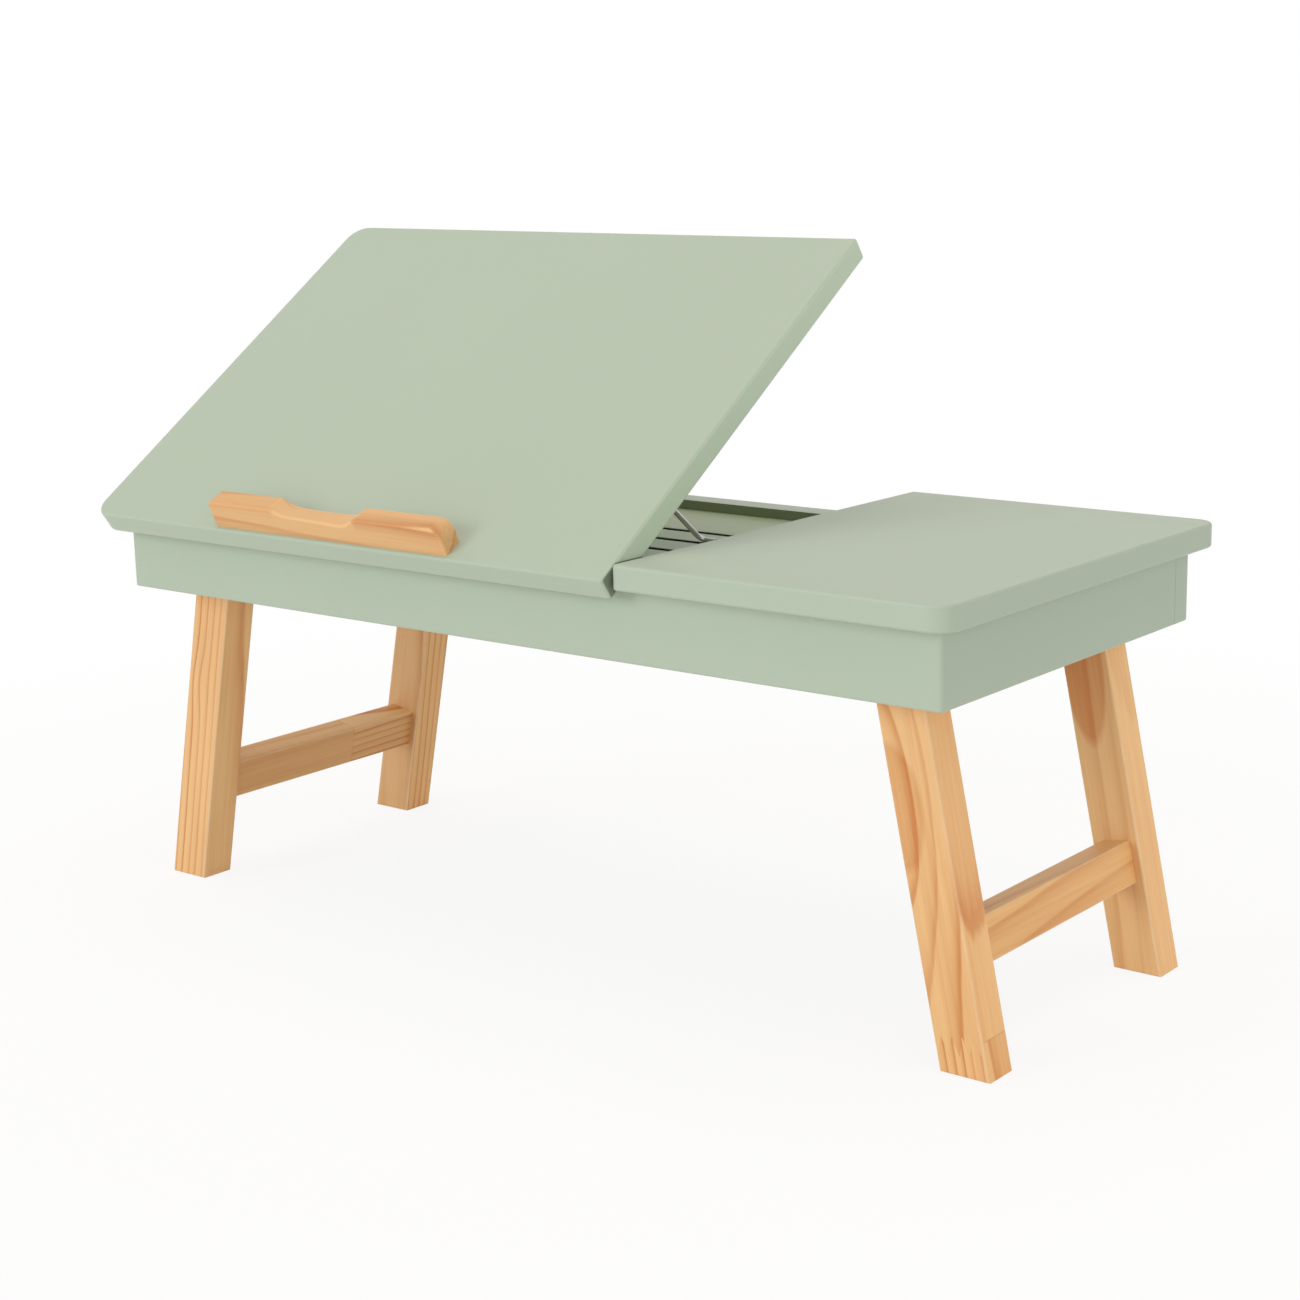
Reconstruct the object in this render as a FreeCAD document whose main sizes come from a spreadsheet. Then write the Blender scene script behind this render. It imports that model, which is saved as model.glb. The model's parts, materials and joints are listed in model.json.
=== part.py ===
import FreeCAD, Part
import math
import operator
import os

import Sketcher
from FreeCAD import Placement, Rotation, Vector

# A laptop table: a painted tray on two folding leg frames, with a fixed top over its right third and a
# tilting top over the rest, propped up by a bent wire whose feet rest in the grooves of the tray's floor.
# X runs along the table, Y from its front to its back, Z up from the surface it stands on.

SIZES = (
    # the two tops
    ("top_length", 660, "length over both tops"),
    ("top_depth", 310, "depth of both tops, front to back"),
    ("top_thick", 15, "thickness of both tops"),
    ("table_height", 270, "height of the fixed top's upper face"),
    ("fixed_length", 219, "length of the fixed top"),
    ("split_gap", 2, "gap between the two tops"),
    ("top_corner_radius", 14, "radius of the tops' outer corners, seen from above"),
    ("split_corner_radius", 2.5, "radius of the tops' corners at the split"),
    ("edge_round", 1.8, "rounding of the tops' upper and lower edges"),
    # the tray
    ("side_overhang", 12, "top past the tray at each end"),
    ("front_overhang", 15, "top past the tray at the front and at the back"),
    ("apron_height", 45, "height of the tray's boards"),
    ("apron_thick", 18, "thickness of the tray's boards"),
    ("apron_corner_round", 3, "rounding of the tray's upright corners"),
    ("apron_edge_round", 1.5, "rounding of the tray's lower edge"),
    ("floor_drop", 6.5, "floor panel below the boards' upper edge"),
    ("floor_thick", 8, "thickness of the floor panel"),
    ("floor_housing", 5, "depth of the housing groove that holds the floor panel"),
    ("prop_groove_width", 6.5, "width of a prop groove in the floor"),
    ("prop_groove_depth", 5, "depth of a prop groove"),
    ("prop_groove_length", 340, "length of a prop groove"),
    ("prop_groove_pitch", 31, "spacing of the prop grooves"),
    ("prop_groove_count", 4, "number of prop grooves"),
    ("rest_groove_reach", 166, "hinge axis to the groove that the prop stands over"),
    # the hinges of the tilting top
    ("tilt_angle", 34.5, "slope of the tilting top as stored, in degrees"),
    ("hinge_setback", 11, "hinge axis behind the tops' front edge"),
    ("hinge_length", 50, "length of a hinge"),
    ("hinge_inset", 62, "end of the tilting top to the nearer end of a hinge"),
    ("leaf_reach", 15.5, "hinge axis to a leaf's far edge"),
    ("leaf_thick", 1.2, "thickness of a hinge leaf"),
    ("barrel_radius", 3.2, "outer radius of a hinge knuckle"),
    ("barrel_clearance", 0.4, "clearance round and beside a knuckle"),
    ("pin_radius", 1.5, "radius of a hinge pin"),
    ("pin_clearance", 0.05, "running clearance of a hinge pin"),
    ("pin_chamfer", 0.4, "chamfer of a hinge pin's ends"),
    ("lid_gap", 0.3, "gap under the tilting top when it is shut"),
    ("screw_radius", 1.5, "radius of a screw's shank"),
    ("screw_head_radius", 2.5, "radius of a screw's head"),
    ("screw_length", 10, "length of a screw's shank"),
    ("hinge_screw_spacing", 34, "spacing of the two screws in a leaf"),
    # the wire prop and its clips
    ("wire_radius", 1.75, "radius of the prop's wire"),
    ("prop_reach", 107, "hinge axis to the prop's pivot, along the tilting top"),
    ("prop_width", 297, "width of the prop between the middles of its two arms"),
    ("wire_bend_radius", 6, "bend radius at the middle of the wire"),
    ("prop_foot_length", 12, "length of each foot turned outwards"),
    ("prop_foot_gap", 0.3, "gap between a prop foot and the floor"),
    ("wire_gap", 0.3, "gap between the wire and the underside of the tilting top"),
    ("clip_inset", 22, "prop arm to the middle of the nearer clip"),
    ("clip_width", 14, "width of a wire clip"),
    ("clip_thick", 1, "thickness of a wire clip"),
    ("clip_flange", 10, "length of each flat of a wire clip"),
    ("clip_clearance", 0.1, "running clearance of the wire in a clip"),
    ("clip_screw_length", 8, "length of a clip screw's shank"),
    ("clip_head_height", 1.2, "height of a clip screw's head"),
    # the ledge bar
    ("ledge_length", 200, "length of the ledge bar"),
    ("ledge_depth", 14, "depth of the ledge bar, up the slope"),
    ("ledge_height", 17.5, "height of the ledge bar's raised ends above the top"),
    ("ledge_setback", 3, "ledge bar behind the tilting top's front edge"),
    ("ledge_dip", 5.7, "depth of the dip in the ledge bar"),
    ("ledge_left_rise", 65, "length of the raised left end"),
    ("ledge_left_shoulder", 20, "length of the slope down into the dip from the left"),
    ("ledge_right_rise", 62, "length of the raised right end"),
    ("ledge_right_shoulder", 13, "length of the slope up out of the dip on the right"),
    ("ledge_left_end_radius", 3, "rounding of the ledge bar's upper left end"),
    ("ledge_right_end_radius", 10, "rounding of the ledge bar's upper right end"),
    ("ledge_dip_radius", 12, "rounding at the bottom of the dip"),
    ("ledge_edge_round", 1.4, "easing of the ledge bar's long upper edges"),
    # the leg frames
    ("leg_width", 31, "width of a leg, along the table"),
    ("leg_depth", 25, "depth of a leg, front to back"),
    ("leg_splay", 11.7, "outward lean of the legs, in degrees"),
    ("leg_edge_round", 1.5, "easing of the legs' edges"),
    ("pivot_inset", 30.3, "tray's inner end face to the leg pivot"),
    ("leg_swing_gap", 0.5, "gap between a leg's rounded end and the floor panel"),
    ("leg_play", 0.1, "play on each side of a leg along its bolt"),
    ("stop_gap", 0.1, "gap between an open leg and its stop rail"),
    ("stretcher_thick", 20, "thickness of a stretcher"),
    ("stretcher_height", 27, "height of a stretcher"),
    ("stretcher_rise", 59, "outer corner of the foot to the stretcher, along the leg"),
    ("stretcher_edge_round", 1.5, "easing of the stretchers' edges"),
    ("block_thick", 8.5, "thickness of a pivot block"),
    ("block_reach", 22, "pivot to the block's end, towards the table's middle"),
    ("block_rise", 1, "lower edge of the blocks and rails above the boards' lower edge"),
    # fasteners
    ("bolt_radius", 3, "radius of a pivot bolt's shoulder"),
    ("bolt_clearance", 0.05, "running clearance of a leg on its bolt"),
    ("bolt_head_radius", 7, "radius of a pivot bolt's head"),
    ("bolt_head_height", 4, "height of a pivot bolt's head"),
    ("bolt_head_round", 1, "rounding of a pivot bolt's head"),
    ("bolt_thread_radius", 2.5, "radius of a pivot bolt's thread"),
    ("key_width", 4, "width across flats of the socket in a bolt's head"),
    ("key_depth", 2.5, "depth of the socket in a bolt's head"),
    ("insert_radius", 4.5, "outer radius of a threaded insert"),
    ("insert_length", 14, "length of a threaded insert"),
    ("washer_radius", 8, "outer radius of a pivot washer"),
    ("washer_thick", 1, "thickness of a pivot washer"),
    ("dowel_radius", 3, "radius of a dowel"),
    ("dowel_grip", 12, "depth of a dowel in each of the two tray boards that it joins"),
    ("corner_dowel_rise", 9, "lower corner dowel above the boards' lower edge"),
    ("corner_dowel_spacing", 13, "spacing of the two dowels at a corner"),
    ("top_dowel_grip", 9, "depth of a dowel in the fixed top, and in the ledge bar and its top"),
    ("top_dowel_inset", 40, "end of the fixed top to a dowel"),
    ("ledge_dowel_inset", 30, "end of the ledge bar to a dowel"),
    ("stretcher_dowel_grip", 16, "depth of a dowel in a leg and in a stretcher"),
    ("stretcher_dowel_spacing", 13, "spacing of the two dowels at a stretcher's end"),
    ("overrun", 1, "how far a cut runs past the face that it leaves"),
)

doc = FreeCAD.newDocument("laptop_table")
sheet = doc.addObject("Spreadsheet::Sheet", "Sizes")
for row, (alias, amount, meaning) in enumerate(SIZES, start=1):
    sheet.set(f"A{row}", meaning)
    sheet.set(f"B{row}", str(amount))
    sheet.setAlias(f"B{row}", alias)
doc.recompute()

OPERATIONS = {"+": operator.add, "-": operator.sub, "*": operator.mul, "/": operator.truediv}


class Size:
    """A size worked out from the sheet: the formula that binds it, and its value now."""

    def __init__(self, formula, value):
        self.formula = formula
        self.value = value

    def joined(self, sign, other):
        formula = other.formula if isinstance(other, Size) else str(other)
        value = other.value if isinstance(other, Size) else other
        return Size(f"({self.formula} {sign} {formula})", OPERATIONS[sign](self.value, value))

    def __add__(self, other):
        return self.joined("+", other)

    def __sub__(self, other):
        return self.joined("-", other)

    def __mul__(self, other):
        return self.joined("*", other)

    def __truediv__(self, other):
        return self.joined("/", other)

    def __neg__(self):
        return Size(f"(-{self.formula})", -self.value)


def size(alias):
    return Size(f"Sizes.{alias}", float(sheet.get(alias)))


def root(square):
    return Size(f"sqrt({square.formula})", math.sqrt(square.value))


def turn(name, angle):
    """The sine, cosine or tangent of an angle in degrees."""
    return Size(f"{name}({angle.formula} * 1 deg)", getattr(math, name)(math.radians(angle.value)))


# Helpers that add features to a body
ZERO = Size("0", 0.0)


def bind(feature, name, amount):
    feature.setExpression(name, amount.formula)


def new_body(label):
    body = doc.addObject("PartDesign::Body", label)
    body.Label = label
    return body


def new_sketch(body, role, level):
    sketch = body.newObject("Sketcher::SketchObject", f"{body.Name}_sketch")
    plane = next(feature for feature in body.Origin.OriginFeatures if feature.Role == role)
    sketch.AttachmentSupport = [(plane, "")]
    sketch.MapMode = "FlatFace"
    bind(sketch, "AttachmentOffset.Base.z", level)
    return sketch


def hold(sketch, constraint, amount):
    index = sketch.addConstraint(constraint)
    bind(sketch, f"Constraints[{index}]", amount)


def hold_point(sketch, line, end, x, y):
    hold(sketch, Sketcher.Constraint("DistanceX", line, end, x.value), x)
    hold(sketch, Sketcher.Constraint("DistanceY", line, end, y.value), y)


def polygon(body, role, points, level=ZERO):
    """A closed outline of straight lines, each corner held at its two sizes."""
    sketch = new_sketch(body, role, level)
    corners = [Vector(x.value, y.value, 0) for x, y in points]
    last = len(corners) - 1
    for line, corner in enumerate(corners):
        following = corners[0] if line == last else corners[line + 1]
        sketch.addGeometry(Part.LineSegment(corner, following))
    for line in range(len(corners)):
        following = 0 if line == last else line + 1
        sketch.addConstraint(Sketcher.Constraint("Coincident", line, 2, following, 1))
    for line, (x, y) in enumerate(points):
        hold_point(sketch, line, 1, x, y)
    return sketch


def rectangle(body, role, low, high, level=ZERO):
    corners = (low, (high[0], low[1]), high, (low[0], high[1]))
    return polygon(body, role, corners, level)


def circles(body, role, centres, radius, level=ZERO):
    sketch = new_sketch(body, role, level)
    for index, (x, y) in enumerate(centres):
        middle = Vector(x.value, y.value, 0)
        sketch.addGeometry(Part.Circle(middle, Vector(0, 0, 1), radius.value))
        hold_point(sketch, index, 3, x, y)
        hold(sketch, Sketcher.Constraint("Radius", index, radius.value), radius)
    return sketch


def half_disc(body, role, centre, radius, level=ZERO):
    """The lower half of a round, closed by its level diameter."""
    sketch = new_sketch(body, role, level)
    x, y = centre
    right = (x + radius, y)
    left = (x - radius, y)
    sketch.addGeometry(Part.LineSegment(*(Vector(end.value, y.value, 0) for end in (right[0], left[0]))))
    circle = Part.Circle(Vector(x.value, y.value, 0), Vector(0, 0, 1), radius.value)
    sketch.addGeometry(Part.ArcOfCircle(circle, math.pi, 2 * math.pi))
    sketch.addConstraint(Sketcher.Constraint("Coincident", 0, 2, 1, 1))
    sketch.addConstraint(Sketcher.Constraint("Coincident", 0, 1, 1, 2))
    hold_point(sketch, 0, 1, *right)
    hold_point(sketch, 0, 2, *left)
    hold(sketch, Sketcher.Constraint("DistanceY", 1, 3, y.value), y)
    return sketch


def pad(body, sketch, length, backwards=False):
    feature = body.newObject("PartDesign::Pad", f"{body.Name}_pad")
    feature.Profile = sketch
    feature.Reversed = backwards
    bind(feature, "Length", length)
    doc.recompute()
    return feature


def cut(body, sketch, length, backwards=False):
    """A pocket against the sketch's normal, or along it when backwards, that has to take material away."""
    before = body.Shape.Volume
    feature = body.newObject("PartDesign::Pocket", f"{body.Name}_pocket")
    feature.Profile = sketch
    feature.Reversed = backwards
    bind(feature, "Length", length)
    doc.recompute()
    if not body.Shape.Volume < before:
        raise RuntimeError(f"{body.Label}: a pocket cuts nothing")
    return feature


def dress(body, kind, name, amount, chosen):
    """A fillet or chamfer on the edges of the body for which chosen is true."""
    base = body.Tip
    numbered = enumerate(base.Shape.Edges, start=1)
    edges = [f"Edge{number}" for number, edge in numbered if chosen(edge)]
    if not edges:
        raise RuntimeError(f"{body.Label}: no edge to dress")
    feature = body.newObject(f"PartDesign::{kind}", f"{body.Name}_{kind}")
    feature.Base = (base, edges)
    bind(feature, name, amount)
    doc.recompute()
    return feature


def fillet(body, radius, chosen):
    return dress(body, "Fillet", "Radius", radius, chosen)


def near(amount, other):
    return abs(amount - other.value) < size("overrun").value / 1000


def runs_along(edge, axis):
    """True for a straight edge along the axis 0, 1 or 2."""
    if not isinstance(edge.Curve, Part.Line):
        return False
    return abs(abs(edge.Curve.Direction[axis]) - 1) < 1e-6


def lies_at(edge, axis, level):
    """True for an edge that lies in the plane across the axis at that level."""
    box = edge.BoundBox
    low = (box.XMin, box.YMin, box.ZMin)[axis]
    high = (box.XMax, box.YMax, box.ZMax)[axis]
    return near(low, level) and near(high, level)


def rod(name, radius, length, placement):
    """A plain round rod that starts at its placement and runs along its own Z."""
    feature = doc.addObject("Part::Cylinder", name)
    bind(feature, "Radius", radius)
    bind(feature, "Height", length)
    feature.Placement = placement
    return feature


def group(label, members):
    """Like fasteners, separate solids in one node."""
    compound = doc.addObject("Part::Compound", label)
    compound.Label = label
    compound.Links = members
    nodes.append(compound)


def add_node(body, placement):
    body.Placement = placement
    nodes.append(body)


nodes = []
overrun = size("overrun")

# Levels and places that several pieces share
top_thick = size("top_thick")
apron_thick = size("apron_thick")
apron_height = size("apron_height")
apron_top = size("table_height") - top_thick
apron_bottom = apron_top - apron_height
floor_top = apron_top - size("floor_drop")
floor_under = floor_top - size("floor_thick")
tray_length = size("top_length") - size("side_overhang") * 2
tray_depth = size("top_depth") - size("front_overhang") * 2
tray_half = tray_length / 2
inner_length = tray_length - apron_thick * 2
inner_depth = tray_depth - apron_thick * 2
floor_length = inner_length + size("floor_housing") * 2
floor_depth = inner_depth + size("floor_housing") * 2

tilt_length = size("top_length") - size("fixed_length") - size("split_gap")
tilt_left = -(size("top_length") / 2)
tilt_right = tilt_left + tilt_length
tilt_middle = tilt_left + tilt_length / 2
fixed_left = size("top_length") / 2 - size("fixed_length")

hinge_y = size("hinge_setback") - size("top_depth") / 2
panel_under = size("lid_gap") / 2
panel_over = panel_under + top_thick
hinge_z = apron_top + panel_under
hinge_starts = (tilt_left + size("hinge_inset"), tilt_right - size("hinge_inset") - size("hinge_length"))
barrel_room = size("barrel_radius") + size("barrel_clearance")
screw_along = (
    (size("hinge_length") - size("hinge_screw_spacing")) / 2,
    (size("hinge_length") + size("hinge_screw_spacing")) / 2,
)
screw_across = (barrel_room + size("leaf_reach")) / 2
sink_depth = size("screw_head_radius") - size("screw_radius")

pivot_x = inner_length / 2 - size("pivot_inset")
pivot_z = floor_under - size("leg_swing_gap") - size("leg_width") / 2
block_inner = inner_depth / 2 - size("block_thick")
leg_outer = block_inner - size("washer_thick") - size("leg_play")
leg_middle = leg_outer - size("leg_depth") / 2
leg_inner = leg_outer - size("leg_depth")

# The ledge bar's upper front edge reaches furthest forward, and with the fixed top's back edge it sets
# the middle of the whole table
tilt_sine = turn("sin", size("tilt_angle"))
tilt_cosine = turn("cos", size("tilt_angle"))
ledge_front = size("ledge_setback") - size("hinge_setback")
ledge_round = size("ledge_edge_round")
front_reach = (
    (panel_over + size("ledge_height") - ledge_round) * tilt_sine
    - (ledge_front + ledge_round) * tilt_cosine
    + ledge_round
)
centre_shift = (front_reach - hinge_y - size("top_depth") / 2) / 2

# The prop: its pivot under the tilting top, and its foot over the rest groove
wire_level = panel_under - size("wire_gap") - size("wire_radius")
prop_pivot_y = size("prop_reach") * tilt_cosine - wire_level * tilt_sine
prop_pivot_z = size("prop_reach") * tilt_sine + wire_level * tilt_cosine
prop_foot_z = floor_top + size("prop_foot_gap") + size("wire_radius") - hinge_z
prop_run = size("rest_groove_reach") - prop_pivot_y
prop_fall = prop_pivot_z - prop_foot_z
prop_length = root(prop_run * prop_run + prop_fall * prop_fall)
prop_slope = math.degrees(math.atan2(prop_fall.value, prop_run.value))

# The frames that the pieces are placed in
X_AXIS = Vector(1, 0, 0)
Y_AXIS = Vector(0, 1, 0)
Z_AXIS = Vector(0, 0, 1)
UNTURNED = Rotation()
HALF_TURN = Rotation(Z_AXIS, 180)
ALONG_Y = Rotation(X_AXIS, -90)
UPSIDE_DOWN = Rotation(X_AXIS, 180)


def placed(frame, x, y, z, rotation=UNTURNED):
    return frame.multiply(Placement(Vector(x.value, y.value, z.value), rotation))


tray_frame = placed(Placement(), ZERO, centre_shift, ZERO)
tilt_frame = placed(tray_frame, ZERO, hinge_y, hinge_z, Rotation(X_AXIS, size("tilt_angle").value))
prop_turn = Rotation(X_AXIS, -size("tilt_angle").value - prop_slope)
prop_frame = placed(tilt_frame, tilt_middle, size("prop_reach"), wire_level, prop_turn)
lean = Rotation(Y_AXIS, -size("leg_splay").value)
leg_frames = {
    "right": placed(tray_frame, pivot_x, ZERO, pivot_z, lean),
    "left": placed(tray_frame, -pivot_x, ZERO, pivot_z, HALF_TURN.multiply(lean)),
}


# The tray's boards
def housing_levels():
    return floor_under - apron_bottom, floor_top - apron_bottom


corner_dowel_levels = (
    size("corner_dowel_rise"),
    size("corner_dowel_rise") + size("corner_dowel_spacing"),
)


def long_board(label, side_turn, top_dowels, hinges):
    """A front or back board: x from its left end as seen from outside, y inwards from its outer face."""
    body = new_body(label)
    outline = rectangle(body, "XY_Plane", (ZERO, ZERO), (tray_length, apron_thick))
    pad(body, outline, apron_height)
    fillet(body, size("apron_corner_round"), lambda edge: runs_along(edge, 2) and lies_at(edge, 1, ZERO))
    fillet(
        body,
        size("apron_edge_round"),
        lambda edge: lies_at(edge, 2, ZERO) and not lies_at(edge, 1, apron_thick),
    )
    low, high = housing_levels()
    housing_start = (tray_length - floor_length) / 2
    housing_level = apron_thick - size("floor_housing")
    housing = rectangle(
        body, "XZ_Plane", (housing_start, low), (housing_start + floor_length, high), -housing_level
    )
    cut(body, housing, size("floor_housing") + overrun)
    ends = (apron_thick / 2, tray_length - apron_thick / 2)
    holes = [(x, level) for x in ends for level in corner_dowel_levels]
    dowel_level = apron_thick - size("dowel_grip")
    cut(
        body,
        circles(body, "XZ_Plane", holes, size("dowel_radius"), -dowel_level),
        size("dowel_grip") + overrun,
    )
    insert_grip = size("insert_length") - size("block_thick")
    pivots = [(tray_half - pivot_x, pivot_z - apron_bottom), (tray_half + pivot_x, pivot_z - apron_bottom)]
    insert_level = apron_thick - insert_grip
    cut(body, circles(body, "XZ_Plane", pivots, size("insert_radius"), -insert_level), insert_grip + overrun)
    tops = [(x, apron_thick / 2) for x in top_dowels]
    cut(body, circles(body, "XY_Plane", tops, size("dowel_radius"), apron_height), size("dowel_grip"))
    leaf_from_face = size("leaf_reach") + hinge_y + tray_depth / 2
    for start in hinges:
        mortise = rectangle(
            body,
            "XY_Plane",
            (tray_half + start, -overrun),
            (tray_half + start + size("hinge_length"), leaf_from_face),
            apron_height,
        )
        cut(body, mortise, size("leaf_thick"))
        pilots = [(tray_half + start + x, screw_across + hinge_y + tray_depth / 2) for x in screw_along]
        pilot_level = apron_height - size("leaf_thick")
        pilot_depth = size("screw_length") + sink_depth - size("leaf_thick")
        cut(body, circles(body, "XY_Plane", pilots, size("screw_radius"), pilot_level), pilot_depth)
    corner_x = tray_half if side_turn is HALF_TURN else -tray_half
    corner_y = tray_depth / 2 if side_turn is HALF_TURN else -(tray_depth / 2)
    add_node(body, placed(tray_frame, corner_x, corner_y, apron_bottom, side_turn))


def end_board(label, side_turn):
    """A left or right board: x inwards from its outer face, y along it."""
    body = new_body(label)
    pad(body, rectangle(body, "XY_Plane", (ZERO, ZERO), (apron_thick, inner_depth)), apron_height)
    fillet(
        body,
        size("apron_edge_round"),
        lambda edge: lies_at(edge, 2, ZERO) and lies_at(edge, 0, ZERO),
    )
    low, high = housing_levels()
    housing_level = apron_thick - size("floor_housing")
    housing = rectangle(body, "YZ_Plane", (-overrun, low), (inner_depth + overrun, high), housing_level)
    cut(body, housing, size("floor_housing") + overrun, backwards=True)
    holes = [(apron_thick / 2, level) for level in corner_dowel_levels]
    cut(body, circles(body, "XZ_Plane", holes, size("dowel_radius")), size("dowel_grip"))
    far_level = inner_depth - size("dowel_grip")
    far_holes = circles(body, "XZ_Plane", holes, size("dowel_radius"), -far_level)
    cut(body, far_holes, size("dowel_grip") + overrun)
    corner_x = tray_half if side_turn is HALF_TURN else -tray_half
    corner_y = inner_depth / 2 if side_turn is HALF_TURN else -(inner_depth / 2)
    add_node(body, placed(tray_frame, corner_x, corner_y, apron_bottom, side_turn))


def corner_dowels():
    members = []
    for x in (-(tray_half - apron_thick / 2), tray_half - apron_thick / 2):
        for y in (-(inner_depth / 2), inner_depth / 2):
            for level in corner_dowel_levels:
                start = placed(tray_frame, x, y - size("dowel_grip"), apron_bottom + level, ALONG_Y)
                members.append(rod("corner_dowel", size("dowel_radius"), size("dowel_grip") * 2, start))
    group("corner_dowels", members)


def floor_panel():
    """The tray's floor, with a row of grooves across the slope for the prop's feet."""
    body = new_body("floor_panel")
    low = (-(floor_length / 2), -(floor_depth / 2))
    high = (floor_length / 2, floor_depth / 2)
    pad(body, rectangle(body, "XY_Plane", low, high), size("floor_thick"))
    rear = hinge_y + size("rest_groove_reach") + size("prop_groove_pitch")
    groove_low = (tilt_middle - size("prop_groove_length") / 2, rear - size("prop_groove_width") / 2)
    groove_high = (tilt_middle + size("prop_groove_length") / 2, rear + size("prop_groove_width") / 2)
    sketch = rectangle(body, "XY_Plane", groove_low, groove_high, size("floor_thick"))
    groove = cut(body, sketch, size("prop_groove_depth"))
    row = body.newObject("PartDesign::LinearPattern", "prop_grooves")
    row.Originals = [groove]
    row.Direction = (sketch, ["V_Axis"])
    row.Reversed = True
    bind(row, "Length", size("prop_groove_pitch") * (size("prop_groove_count") - 1))
    bind(row, "Occurrences", size("prop_groove_count"))
    body.Tip = row
    doc.recompute()
    add_node(body, placed(tray_frame, ZERO, ZERO, floor_under))


# The two tops
def round_top(body, outer, split, levels):
    """Rounds a top's corners, wide ones at its outer end, and eases its lower and upper edges."""
    fillet(body, size("top_corner_radius"), lambda edge: runs_along(edge, 2) and lies_at(edge, 0, outer))
    fillet(body, size("split_corner_radius"), lambda edge: runs_along(edge, 2) and lies_at(edge, 0, split))
    fillet(body, size("edge_round"), lambda edge: any(lies_at(edge, 2, level) for level in levels))


fixed_top_dowel_places = [
    (x, y)
    for x in (size("top_dowel_inset"), size("fixed_length") - size("top_dowel_inset"))
    for y in (-((tray_depth - apron_thick) / 2), (tray_depth - apron_thick) / 2)
]


def fixed_top():
    body = new_body("fixed_top")
    low = (ZERO, -(size("top_depth") / 2))
    high = (size("fixed_length"), size("top_depth") / 2)
    pad(body, rectangle(body, "XY_Plane", low, high), top_thick)
    round_top(body, size("fixed_length"), ZERO, (ZERO, top_thick))
    holes = circles(body, "XY_Plane", fixed_top_dowel_places, size("dowel_radius"))
    cut(body, holes, size("top_dowel_grip"), backwards=True)
    add_node(body, placed(tray_frame, fixed_left, ZERO, apron_top))


def fixed_top_dowels():
    members = []
    for x, y in fixed_top_dowel_places:
        start = placed(tray_frame, fixed_left + x, y, apron_top - size("dowel_grip"))
        members.append(
            rod("top_dowel", size("dowel_radius"), size("dowel_grip") + size("top_dowel_grip"), start)
        )
    group("fixed_top_dowels", members)


ledge_left = tilt_middle - size("ledge_length") / 2
ledge_dowel_places = [
    (x, ledge_front + size("ledge_depth") / 2)
    for x in (
        ledge_left + size("ledge_dowel_inset"),
        ledge_left + size("ledge_length") - size("ledge_dowel_inset"),
    )
]
clip_places = (
    tilt_middle - size("prop_width") / 2 + size("clip_inset"),
    tilt_middle + size("prop_width") / 2 - size("clip_inset"),
)
clip_outer_radius = size("wire_radius") + size("clip_clearance") + size("clip_thick")
clip_screw_offset = clip_outer_radius + size("clip_flange") / 2
clip_screw_places = [
    (x, size("prop_reach") + offset)
    for x in clip_places
    for offset in (-clip_screw_offset, clip_screw_offset)
]


def tilt_top():
    """The tilting top, about its hinge axis, with its underside let out for the hinges."""
    body = new_body("tilt_top")
    low = (tilt_left, -size("hinge_setback"))
    high = (tilt_right, size("top_depth") - size("hinge_setback"))
    pad(body, rectangle(body, "XY_Plane", low, high, panel_under), top_thick)
    round_top(body, tilt_left, tilt_right, (panel_under, panel_over))
    for start in hinge_starts:
        relief = circles(body, "YZ_Plane", [(ZERO, ZERO)], barrel_room, start - size("barrel_clearance"))
        cut(body, relief, size("hinge_length") + size("barrel_clearance") * 2, backwards=True)
        mortise_high = (start + size("hinge_length"), size("leaf_reach"))
        mortise = rectangle(body, "XY_Plane", (start, ZERO), mortise_high, panel_under - overrun)
        cut(body, mortise, size("leaf_thick") + overrun, backwards=True)
        pilots = [(start + x, screw_across) for x in screw_along]
        pilot_level = panel_under + size("leaf_thick")
        pilot_depth = size("screw_length") + sink_depth - size("leaf_thick")
        pilot_holes = circles(body, "XY_Plane", pilots, size("screw_radius"), pilot_level)
        cut(body, pilot_holes, pilot_depth, backwards=True)
    clip_holes = circles(body, "XY_Plane", clip_screw_places, size("screw_radius"), panel_under)
    clip_grip = size("clip_screw_length") - size("clip_thick")
    cut(body, clip_holes, clip_grip, backwards=True)
    ledge_holes = circles(body, "XY_Plane", ledge_dowel_places, size("dowel_radius"), panel_over)
    cut(body, ledge_holes, size("top_dowel_grip"))
    add_node(body, tilt_frame)


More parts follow.
